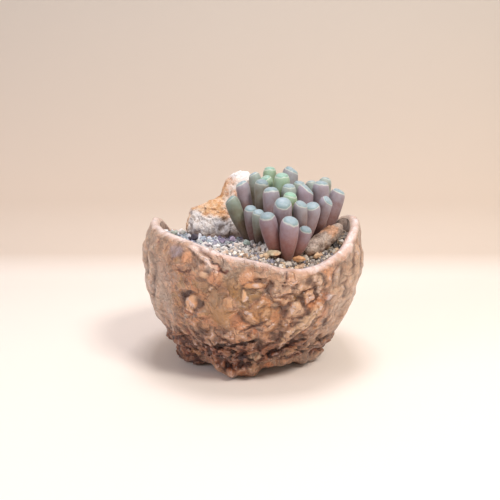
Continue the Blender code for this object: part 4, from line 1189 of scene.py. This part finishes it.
def chip_shapes(count, seed):
    """Small angular chips of stone, about 1 m across, kept in a collection of their own."""
    group = bpy.data.collections.new("chip shapes")
    draws = np.random.default_rng(seed)
    for number in range(count):
        builder = bmesh.new()
        squash = draws.uniform((0.8, 0.6, 0.45), (1.1, 0.9, 0.75))
        for _ in range(CHIP_CORNERS):
            way = draws.normal(size=3)
            builder.verts.new(way / np.linalg.norm(way) * squash * draws.uniform(0.42, 0.52))
        close_hull(builder, builder.verts)
        bmesh.ops.recalc_face_normals(builder, faces=builder.faces)
        mesh = bpy.data.meshes.new(f"chip_{number}")
        builder.to_mesh(mesh)
        builder.free()
        group.objects.link(bpy.data.objects.new(f"chip_{number}", mesh))
    return group


def scattered(add, given, spacing, smallest, largest, salt):
    """Chips on the open part of a surface, each with its own turn, size and chip number."""
    is_open = add("named", "open", data_type="FLOAT")
    seed = add("add", given["Seed"], salt)
    spacing, smallest, largest = (
        add("multiply", given["Grain"], share) for share in (spacing, smallest, largest))
    points = add("GeometryNodeDistributePointsOnFaces", distribute_method="POISSON", named={
        "Mesh": given["Geometry"], "Distance Min": spacing, "Density Max": GRAIN_DENSITY,
        "Density Factor": is_open, "Seed": seed,
    })
    turn = add("random", (0, 0, 0), (math.tau,) * 3, named={"Seed": seed}, data_type="FLOAT_VECTOR")
    size = add("random", smallest, largest, named={"Seed": seed}, data_type="FLOAT")
    kind = add("random", 0.0, 1.0, named={"Seed": seed}, data_type="FLOAT")
    shapes = add("GeometryNodeCollectionInfo", named={
        "Collection": bpy.data.collections["chip shapes"], "Separate Children": True,
    })
    chips = add("GeometryNodeInstanceOnPoints", named={
        "Points": points, "Instance": shapes, "Pick Instance": True, "Rotation": turn, "Scale": size,
    })
    return add("GeometryNodeStoreNamedAttribute", chips, named={"Name": "chip", "Value": kind},
               data_type="FLOAT", domain="INSTANCE")


def grains_tree(material):
    """Three sizes of chip over the open part of a surface, which is kept under them."""
    tree = new_tree("scattered grit", Grain=2.0 * MM, Seed=1)
    add = partial(add_node, tree)
    given = add("NodeGroupInput").outputs
    all_sizes = add("GeometryNodeJoinGeometry", given["Geometry"])
    for salt, sizes in enumerate(GRAIN_SIZES):
        chips = scattered(add, given, *sizes, float(salt))
        tree.links.new(chips.outputs[0], all_sizes.inputs["Geometry"])
    real = add("GeometryNodeRealizeInstances", all_sizes)
    add("NodeGroupOutput", add("GeometryNodeSetMaterial", real, named={"Material": material}))
    return tree


def make_grit(settings):
    group = chip_shapes(CHIP_KINDS, settings.seed)
    bed = grit_bed()
    apply_tree(bed, grains_tree(crushed_grit()), Grain=settings.grain, Seed=settings.seed)
    place_piece(bed, "grit", "grit")
    for shape in list(group.objects):
        bpy.data.objects.remove(shape)
    bpy.data.collections.remove(group)


# Rock and pebble

def reach_of(heart, towards, centre, half):
    """Distance from heart, along the unit vector towards, to the far side of an ellipsoid."""
    start = Vector((heart[axis] - centre[axis]) / half[axis] for axis in range(3))
    heading = Vector(towards[axis] / half[axis] for axis in range(3))
    a = heading.dot(heading)
    b = start.dot(heading)
    c = start.dot(start) - 1
    return (math.sqrt(max(b * b - a * c, 0.0)) - b) / a


def rock_point(towards):
    """A point on the solid rock's skin, mm."""
    spans = [reach_of(ROCK_HEART, towards, centre, half) for centre, half in ROCK_LUMPS]
    distance = sum(span**ROCK_BLEND for span in spans) ** (1 / ROCK_BLEND) * 0.97
    spot = Vector(ROCK_HEART) + towards * distance
    out = sum(rise * noise.noise(spot / size) for size, rise in (ROCK_DENTS, ROCK_PITS))
    return spot + towards * out


def make_rock(settings):
    builder = bmesh.new()
    bmesh.ops.create_icosphere(builder, subdivisions=7, radius=1.0)
    hollows = []
    for vertex in builder.verts:
        towards = vertex.co.normalized()
        spot = rock_point(towards)
        block, _, slant = (float(value[0]) for value in clay_cells(np.array([spot]), ROCK_BLOCK))
        rough = noise.fractal(spot / ROCK_GRAIN, 0.8, 2.1, 5)
        broken = abs(noise.noise(spot / ROCK_BREAK + Vector((5, 6, 7))))
        pit = max(noise.noise(spot / ROCK_HOLE) - 0.16, 0.0)
        out = 0.45 * rough + 0.6 * slant + 0.8 * broken - 1.3 * pit
        out = out - 0.35 * float(fall(0.0, 0.12, block)) - 0.35
        spot += towards * out * settings.roughness
        spot.z = max(spot.z, ROCK_BOTTOM)
        vertex.co = spot * MM
        crack = 0.4 * float(fall(0.0, 0.1, block))
        hollows.append(2.2 * pit - 0.5 * rough - 0.5 * broken + crack)
    rock = built_object("rough_rock", builder)
    mesh = rock.data
    mesh.shade_smooth()

    # Where its colours lie: a rusty ridge along the sloping crown on the left and down its far end,
    # peach on the right shoulder, chalk on top and brown at the foot
    spots = np.array([vertex.co for vertex in mesh.vertices]) / MM
    wander = 2.5 * waves(spots, 5)
    x, _, z = spots.T
    crown = 66.5 - 0.28 * (x + 18)
    along_crown = step(-5.0, -2.0, z - crown + wander) * fall(-14, -9, x)
    far_end = fall(-30, -27, x + wander)
    for name, values in (
        ("hollow", hollows),
        ("peach", step(61.5, 65.0, z + wander) * step(-16, -11, x + wander)),
        ("ridge", np.maximum(along_crown, far_end)),
        ("chalk", step(76.5, 79.0, z + 0.4 * wander + 0.25 * (x + 5))),
        ("brown", 0.8 * fall(54.5, 57.5, z + wander)),
    ):
        set_attribute(mesh, name, values)
    mesh.materials.append(weathered_rock())
    place_piece(rock, "rock", "rock")


def make_pebble(settings):
    low, high = Vector(PEBBLE_LOW_END), Vector(PEBBLE_HIGH_END)
    along = (high - low).normalized()
    across = Vector((0, 0, 1)).cross(along).normalized()
    turn = Matrix((along, across, along.cross(across))).transposed()
    half = Vector(((high - low).length / 2, PEBBLE_HALF_WIDTH, PEBBLE_HALF_THICKNESS))
    builder = bmesh.new()
    bmesh.ops.create_icosphere(builder, subdivisions=6, radius=1.0)
    flush = []
    for vertex in builder.verts:
        unit = vertex.co.normalized()
        blunt = sum(abs(part) ** PEBBLE_BLUNTNESS for part in unit) ** (-1 / PEBBLE_BLUNTNESS)
        dented = 0.985 + 0.05 * noise.noise(unit * 1.7 + Vector((3.0, 1.0, 2.0)))
        spot = (low + high) / 2 + turn @ (unit * blunt * dented * half)
        rough = 0.45 * noise.fractal(spot / PEBBLE_GRAIN, 0.8, 2.0, 4)
        rough = rough - 0.5 * max(noise.noise(spot / PEBBLE_PIT) - 0.2, 0.0)
        spot += turn @ unit * (rough - 0.1) * settings.roughness
        vertex.co = spot * MM
        reach = abs(unit.x - 0.3) / 0.35 + 0.5 * noise.noise(spot / 2.0)
        flush.append(0.55 * float(fall(0.5, 1.0, reach)) * float(step(0.0, 0.5, unit.z)))
    pebble = built_object("long_pebble", builder)
    mesh = pebble.data
    mesh.shade_smooth()
    spots = np.array([vertex.co for vertex in mesh.vertices]) / MM
    # Painted shade low on the pebble, within a few mm of the grit
    height = spots[:, 2] - grit_level(spots[:, 0], spots[:, 1]) + 1.5 * waves(spots, 3)
    set_attribute(mesh, "flush", flush)
    set_attribute(mesh, "damp", 0.75 * fall(0.3, 2.6, height))
    mesh.materials.append(river_pebble())
    place_piece(pebble, "pebble", "pebble")


def make_loose_stones(settings):
    """The larger chips that lie on the grit, each with its own colour."""
    builder = bmesh.new()
    colours = []
    draws = np.random.default_rng(settings.seed)
    for middle, half, turn, code in LOOSE_STONES.values():
        before = len(builder.verts)
        placed = Matrix.Translation(Vector(middle) * MM) @ Matrix.Rotation(math.radians(turn), 4, "Z")
        corners = []
        for _ in range(STONE_CORNERS):
            way = draws.normal(size=3)
            way = way / np.linalg.norm(way) * half * draws.uniform(0.85, 1.05)
            corners.append(builder.verts.new(placed @ (Vector(way) * MM)))
        close_hull(builder, corners)
        colours += [(*linear(code), 1)] * (len(builder.verts) - before)
    bmesh.ops.recalc_face_normals(builder, faces=builder.faces)
    stones = built_object("loose_stones", builder)
    set_attribute(stones.data, "colour", colours, "FLOAT_COLOR")
    stones.data.materials.append(loose_chippings())
    place_piece(stones, "grit")


# Plant

def solid_leaf_radius(depth, length, tip_radius):
    """Radius of the solid leaf at a depth under its tip, by which the leaves keep apart."""
    shoulder = LEAF_DOME[-1][0] * tip_radius
    if depth < shoulder:
        places, radii = zip(*LEAF_DOME)
        return float(np.interp(depth / tip_radius, places, radii)) * tip_radius
    return float(smooth(LEAF_TAPER, (length - depth) / (length - shoulder))) * tip_radius


def bowed(base, tip, share):
    """A point on a leaf's middle line: it swings outwards first and then stands up."""
    lean = np.array([tip[0] - base[0], tip[1] - base[1], 0])
    return base + (tip - base) * share + lean * 8 * share * (1 - share) * LEAF_BOW


def grown_leaves():
    """Every leaf as [head, base, tip, tip radius, window lean, tone], pushed clear of the others.

    Leaves of one head part only above their bases, where they grow from the crown.
    """
    leaves = []
    for name, (crown, tips) in HEADS.items():
        root = np.array([*crown, 0.0])
        for tip, radius, lean, tone in tips:
            tip = np.array(tip)
            out = np.array([tip[0] - root[0], tip[1] - root[1], 0])
            length = np.linalg.norm(out)
            base = root + out / length * min(LEAF_BASE_OFFSET, 0.5 * length)
            base[2] = float(grit_level(root[0], root[1])) - LEAF_BASE_DEPTH
            leaves.append([name, base, tip, radius, lean, tone])
    count, marks = len(leaves), len(PUSH_SHARES)
    together = np.array([[one[0] == two[0] for two in leaves] for one in leaves])
    low = np.arange(marks) < LOW_SHARES
    barred = together[:, None, :, None] & (low[None, :, None, None] | low[None, None, None, :])
    barred = barred | np.eye(count, dtype=bool)[:, None, :, None]
    pebble_shares = np.arange(1, 10) / 10
    ends = np.array(PEBBLE_LOW_END), np.array(PEBBLE_HIGH_END)
    pebble = ends[0] + (ends[1] - ends[0]) * pebble_shares[:, None]
    narrowing = np.abs(2 * pebble_shares - 1) ** PEBBLE_BLUNTNESS
    swell = PEBBLE_HALF_WIDTH * (1 - narrowing) ** (1 / PEBBLE_BLUNTNESS)
    for _ in range(PUSH_ROUNDS):
        spots = np.array([[bowed(leaf[1], leaf[2], share) for share in PUSH_SHARES] for leaf in leaves])
        radii = np.empty((count, marks))
        for row, (_, base, tip, radius, _, _) in enumerate(leaves):
            length = np.linalg.norm(tip - base)
            depths = [length * (1 - share) for share in PUSH_SHARES]
            radii[row] = [solid_leaf_radius(depth, length, radius) for depth in depths]
        apart = spots[:, :, None, None] - spots[None, None]
        distance = np.linalg.norm(apart, axis=-1)
        overlap = radii[:, :, None, None] + radii[None, None] + LEAF_CLEARANCE - distance
        overlap[np.broadcast_to(barred, overlap.shape)] = -1e3
        ranked = overlap.transpose(0, 2, 1, 3).reshape(count, count, marks * marks)
        worst = ranked.argmax(-1)
        moves = np.zeros((count, 3))
        for one, two in zip(*np.nonzero(np.triu(ranked.max(-1) > 0, 1))):
            i, j = divmod(int(worst[one, two]), marks)
            push = apart[one, i, two, j] / max(distance[one, i, two, j], 1e-6)
            push = push * overlap[one, i, two, j] * 0.5
            push[2] *= 0.3
            moves[one] += push * (0.4 + PUSH_SHARES[i])
            moves[two] -= push * (0.4 + PUSH_SHARES[j])
        off = spots[:, :, None] - pebble[None, None]
        gap = np.linalg.norm(off, axis=-1)
        deep = radii[:, :, None] + swell[None, None] + LEAF_CLEARANCE - gap
        for one in np.nonzero(deep.reshape(count, -1).max(-1) > 0)[0]:
            i, j = divmod(int(deep[one].argmax()), len(swell))
            away = off[one, i, j] / max(gap[one, i, j], 1e-6) * deep[one, i, j] * np.array([1, 1, 0])
            moves[one] += away
            leaves[one][1] = leaves[one][1] + away * (1 - PUSH_SHARES[i])
        for leaf, move in zip(leaves, moves):
            leaf[2] = leaf[2] + move
    return leaves


def leaf_line(base, tip, tip_radius, lean, tone):
    """A leaf's middle line from base to tip: place, thickness, axis, slope and what colours it."""
    length = np.linalg.norm(tip - base)
    dome = LEAF_DOME_DEPTH * tip_radius
    slope = np.array([*lean, 0]) * WINDOW_SLOPE
    rows = []
    for count in range(LEAF_SPOTS):
        depth = length * (1 - count / (LEAF_SPOTS - 1)) ** LEAF_CROWDING
        share = 1 - depth / length
        centre = bowed(base, tip, share)
        axis = bowed(base, tip, min(share + 0.02, 1.0)) - bowed(base, tip, share - 0.02)
        axis = axis / np.linalg.norm(axis)
        if depth < dome:
            thickness = (1 - (1 - depth / dome) ** LEAF_DOME_POWER) ** (1 / LEAF_DOME_POWER)
        else:
            thickness = float(smooth(LEAF_TAPER, (length - depth) / (length - dome)))
        rows.append((
            centre * MM, max(thickness, 1e-4) * tip_radius * MM, axis, slope, tip_radius * MM,
            depth / tip_radius, share, *TONES[tone],
        ))
    return rows


def root_line(name):
    """A head's root and crown, from the bottom up, as rows like those of a leaf."""
    x, y = HEADS[name][0]
    bottom = float(grit_level(x, y)) - CROWN_DEPTH
    top = bottom + CROWN_HEIGHT
    sections = (
        (bottom - ROOT_LENGTH, 0.02), (bottom - ROOT_LENGTH, 0.7 * ROOT_RADIUS),
        (bottom - 0.02, ROOT_RADIUS), (bottom, CROWN_RADIUS), (top, 0.8 * CROWN_RADIUS), (top, 0.02),
    )
    up = np.array([0, 0, 1.0])
    return [(np.array([x, y, z]) * MM, radius * MM, up, 0 * up, 1.0, 9.0, -1.0, 0.0, 0.0, 1.0)
            for z, radius in sections]


def skins_tree(material):
    """Give each line of points a round skin, and cut each tip with a sloping window.

    The window is a plane a little under the tip that slopes down along the leaf's lean, and
    what would stand above it is lowered to it. Its edge, in tip radii, is kept for the colours.
    """
    tree = new_tree("leaf skins", Sides=LEAF_SIDES, Window=0.35)
    add = partial(add_node, tree)
    given = add("NodeGroupInput").outputs
    thickness, tip_radius, depth = (
        add("named", name, data_type="FLOAT") for name in ("thickness", "tip_radius", "depth"))
    middle, axis, slope = (
        add("named", name, data_type="FLOAT_VECTOR") for name in ("middle", "axis", "slope"))
    lines = add("GeometryNodeMeshToCurve", given["Geometry"])
    ring = add("GeometryNodeCurvePrimitiveCircle", named={"Resolution": given["Sides"], "Radius": 1.0})
    skin = add("GeometryNodeCurveToMesh", lines, ring, named={"Scale": thickness})
    spoke = add("vector subtract", add("GeometryNodeInputPosition"), middle)
    rise = add("divide", add("vector dot_product", spoke, slope), tip_radius)
    plane = add("add", rise, WINDOW_DEPTH)
    across = add("divide", add("vector length", spoke), tip_radius)
    bulge = add("multiply", add("multiply", across, across), WINDOW_BULGE)
    lowered = add("smooth_max", depth, add("add", plane, bulge), WINDOW_ROUND)
    edge = add("subtract", add("subtract", lowered, plane), given["Window"])
    kept = add("GeometryNodeStoreNamedAttribute", skin, named={"Name": "edge", "Value": edge},
               data_type="FLOAT", domain="POINT")
    down = add("multiply", add("subtract", depth, lowered), tip_radius)
    offset = add("vector scale", axis, named={"Scale": down})
    cut = add("GeometryNodeSetPosition", kept, named={"Offset": offset})
    closed = add("GeometryNodeMergeByDistance", cut, named={"Distance": 0.03 * MM})
    smooth_skin = add("GeometryNodeSetShadeSmooth", closed)
    add("NodeGroupOutput", add("GeometryNodeSetMaterial", smooth_skin, named={"Material": material}))
    return tree


def make_plant(settings):
    tree = skins_tree(succulent_leaf(settings))
    leaves = grown_leaves()
    labels = {
        "middle": "FLOAT_VECTOR", "thickness": "FLOAT", "axis": "FLOAT_VECTOR", "slope": "FLOAT_VECTOR",
        **dict.fromkeys(("tip_radius", "depth", "share", "green", "flush", "light"), "FLOAT"),
    }
    for name in HEADS:
        lines = [root_line(name)]
        lines += [leaf_line(*leaf[1:]) for leaf in leaves if leaf[0] == name]
        edges = []
        start = 0
        for line in lines:
            edges += [(start + at, start + at + 1) for at in range(len(line) - 1)]
            start += len(line)
        columns = [np.array(column) for column in zip(*[row for line in lines for row in line])]
        head = mesh_object(name + "_leaves", columns[0], [], edges)
        for (label, kind), values in zip(labels.items(), columns):
            set_attribute(head.data, label, values, kind)
        apply_tree(head, tree, Sides=LEAF_SIDES, Window=settings.window)
        place_piece(head, "leaf", name)


# Stage

def make_stage(settings):
    """A pale floor that curves up into a beige backdrop, painted darker higher up as shade, soft lamps
    and the camera.
    """
    floor_colour, backdrop = (*settings.floor, 1), (*settings.backdrop, 1)
    paper, add, place = new_material("pale_paper")
    height = add("ShaderNodeSeparateXYZ", place).outputs[2]
    colour = layered(add, floor_colour, (add("range", height, *BACKDROP_RISE), backdrop),
                     (add("range", height, *UPPER_WALL_RISE), UPPER_WALL_SHADE))
    shader = add("ShaderNodeBsdfPrincipled", named={"Base Color": colour, "Roughness": 0.9})
    add("ShaderNodeOutputMaterial", shader)
    profile = [(FLOOR_FRONT, 0.0), (FLOOR_BACK, 0.0)]
    for count in range(1, COVE_STEPS + 1):
        angle = math.pi / 2 * count / COVE_STEPS
        rise = COVE_RADIUS * (1 - math.cos(angle))
        profile.append((FLOOR_BACK + COVE_RADIUS * math.sin(angle), rise))
    profile.append((FLOOR_BACK + COVE_RADIUS, WALL_TOP))
    vertices = [(side * FLOOR_HALF_WIDTH, y, z) for y, z in profile for side in (-1, 1)]
    faces = [(2 * row, 2 * row + 1, 2 * row + 3, 2 * row + 2) for row in range(len(profile) - 1)]
    floor = mesh_object("floor", vertices, faces)
    floor.data.shade_smooth()
    floor.data.materials.append(paper)

    # The world lights the scene evenly; past the floor's edge the camera sees it as more backdrop
    world = bpy.data.worlds.new("soft light")
    world.use_nodes = True
    world.node_tree.nodes.clear()
    add = partial(add_node, world.node_tree)
    light = add("ShaderNodeBackground", "#FFF6EE", settings.ambient)
    seen = add("ShaderNodeBackground", backdrop, 1.0)
    is_seen = add("ShaderNodeLightPath").outputs["Is Camera Ray"]
    add("ShaderNodeOutputWorld", add("ShaderNodeMixShader", is_seen, light, seen))
    bpy.context.scene.world = world
    for name, (place, size, code) in LAMPS.items():
        lamp = linked(name, bpy.data.lights.new(name, "AREA"))
        lamp.data.size = size
        lamp.data.energy = getattr(settings, name)
        lamp.data.color = linear(code)
        lamp.location = place
        lamp.rotation_euler = (Vector(LAMPS_AIM) - Vector(place)).to_track_quat("-Z", "Y").to_euler()

    camera = linked("camera", bpy.data.cameras.new("camera"))
    camera.location = CAMERA_PLACE
    camera.rotation_euler = (math.radians(90 - CAMERA_DIP), 0, 0)
    camera.data.lens = CAMERA_LENS
    camera.data.sensor_width = CAMERA_FILM
    camera.data.clip_start = 0.01
    bpy.context.scene.camera = camera
    bpy.context.scene.view_settings.view_transform = "Standard"


# Settings

def colour_setting(name, code, description):
    return bpy.props.FloatVectorProperty(
        name=name, subtype="COLOR", size=3, min=0, max=1, default=linear(code), description=description,
    )


def number_setting(name, default, low, high, description, **kind):
    return bpy.props.FloatProperty(
        name=name, default=default, min=low, max=high, description=description, **kind)


class PotSettings(bpy.types.PropertyGroup):
    relief: number_setting("Relief", 1.0, 0, 1.5, "Depth of the torn clay", subtype="FACTOR")
    glaze: number_setting("Glaze", 0.9, 0, 1, "How wet the glaze looks", subtype="FACTOR")


class GritSettings(bpy.types.PropertyGroup):
    grain: number_setting("Grain", 2.0 * MM, 0.8 * MM, 4 * MM, "Width of a middling grain",
                          unit="LENGTH", precision=4)
    seed: bpy.props.IntProperty(name="Seed", default=4, min=0, description="Draw of the grains")


class StoneSettings(bpy.types.PropertyGroup):
    roughness: number_setting("Weathering", 1.0, 0, 1.5, "Depth of the pits", subtype="FACTOR")
    seed: bpy.props.IntProperty(name="Seed", default=3, min=0, description="Draw of the loose stones")


class PlantSettings(bpy.types.PropertyGroup):
    window: number_setting("Window", 0.42, 0.1, 0.8, "How far the window's edge lies under its face, "
                           "in tip radii", subtype="FACTOR")
    bloom: number_setting("Bloom", 0.15, 0, 1, "How powdery the leaves are", subtype="FACTOR")


class StageSettings(bpy.types.PropertyGroup):
    floor: colour_setting("Floor", "#F4ECE4", "Colour of the floor")
    backdrop: colour_setting("Backdrop", "#D8CABC", "Colour of the backdrop")
    ambient: number_setting("Ambient", 0.38, 0, 5, "Strength of the light from all round",
                            subtype="FACTOR")
    key: number_setting("Key", 2.3, 0, 50, "Lamp at the front right", unit="POWER")
    fill: number_setting("Fill", 0.9, 0, 50, "Lamp at the front left", unit="POWER")
    top: number_setting("Top", 1.5, 0, 50, "Lamp overhead", unit="POWER")


# Operators

class BABYTOES_OT_pot(bpy.types.Operator):
    """Make the stoneware pot"""
    bl_idname = "babytoes.pot"
    bl_label = "Pot"

    def execute(self, context):
        make_pot(context.scene.babytoes_pot)
        return {"FINISHED"}


class BABYTOES_OT_soil(bpy.types.Operator):
    """Give the soil its finish"""
    bl_idname = "babytoes.soil"
    bl_label = "Soil"

    def execute(self, context):
        soil = frame["nodes"]["soil"]
        material = potting_soil()
        soil.data.materials.clear()
        soil.data.materials.append(material)
        return {"FINISHED"}


class BABYTOES_OT_grit(bpy.types.Operator):
    """Scatter the grit"""
    bl_idname = "babytoes.grit"
    bl_label = "Grit"

    def execute(self, context):
        make_grit(context.scene.babytoes_grit)
        return {"FINISHED"}


class BABYTOES_OT_stones(bpy.types.Operator):
    """Make the rock and the pebble"""
    bl_idname = "babytoes.stones"
    bl_label = "Stones"

    def execute(self, context):
        make_rock(context.scene.babytoes_stones)
        make_pebble(context.scene.babytoes_stones)
        make_loose_stones(context.scene.babytoes_stones)
        return {"FINISHED"}


class BABYTOES_OT_plant(bpy.types.Operator):
    """Grow the eight heads of leaves"""
    bl_idname = "babytoes.plant"
    bl_label = "Plant"

    def execute(self, context):
        make_plant(context.scene.babytoes_plant)
        return {"FINISHED"}


class BABYTOES_OT_stage(bpy.types.Operator):
    """Set up the floor, the lamps and the camera"""
    bl_idname = "babytoes.stage"
    bl_label = "Stage"

    def execute(self, context):
        make_stage(context.scene.babytoes_stage)
        return {"FINISHED"}


OPERATORS = (
    BABYTOES_OT_pot, BABYTOES_OT_soil, BABYTOES_OT_grit, BABYTOES_OT_stones, BABYTOES_OT_plant,
    BABYTOES_OT_stage,
)
SETTINGS = {
    "babytoes_pot": PotSettings,
    "babytoes_grit": GritSettings,
    "babytoes_stones": StoneSettings,
    "babytoes_plant": PlantSettings,
    "babytoes_stage": StageSettings,
}


class BABYTOES_PT_parts(bpy.types.Panel):
    """Sizes, colours and buttons for each part"""
    bl_idname = "BABYTOES_PT_parts"
    bl_label = "Baby Toes"
    bl_space_type = "VIEW_3D"
    bl_region_type = "UI"
    bl_category = "Baby Toes"

    def draw(self, context):
        for group_name, group in SETTINGS.items():
            box = self.layout.box()
            for name in group.__annotations__:
                box.prop(getattr(context.scene, group_name), name)
        for operator in OPERATORS:
            self.layout.operator(operator.bl_idname)


def register():
    for item in (*SETTINGS.values(), *OPERATORS, BABYTOES_PT_parts):
        bpy.utils.register_class(item)
    for name, group in SETTINGS.items():
        setattr(bpy.types.Scene, name, bpy.props.PointerProperty(type=group))


def unregister():
    for name in SETTINGS:
        delattr(bpy.types.Scene, name)
    for item in reversed((*SETTINGS.values(), *OPERATORS, BABYTOES_PT_parts)):
        bpy.utils.unregister_class(item)


def main():
    register()
    bpy.ops.babytoes.stage()
    bpy.ops.babytoes.pot()
    bpy.ops.babytoes.soil()
    bpy.ops.babytoes.grit()
    bpy.ops.babytoes.stones()
    bpy.ops.babytoes.plant()


if __name__ == "__main__":
    main()
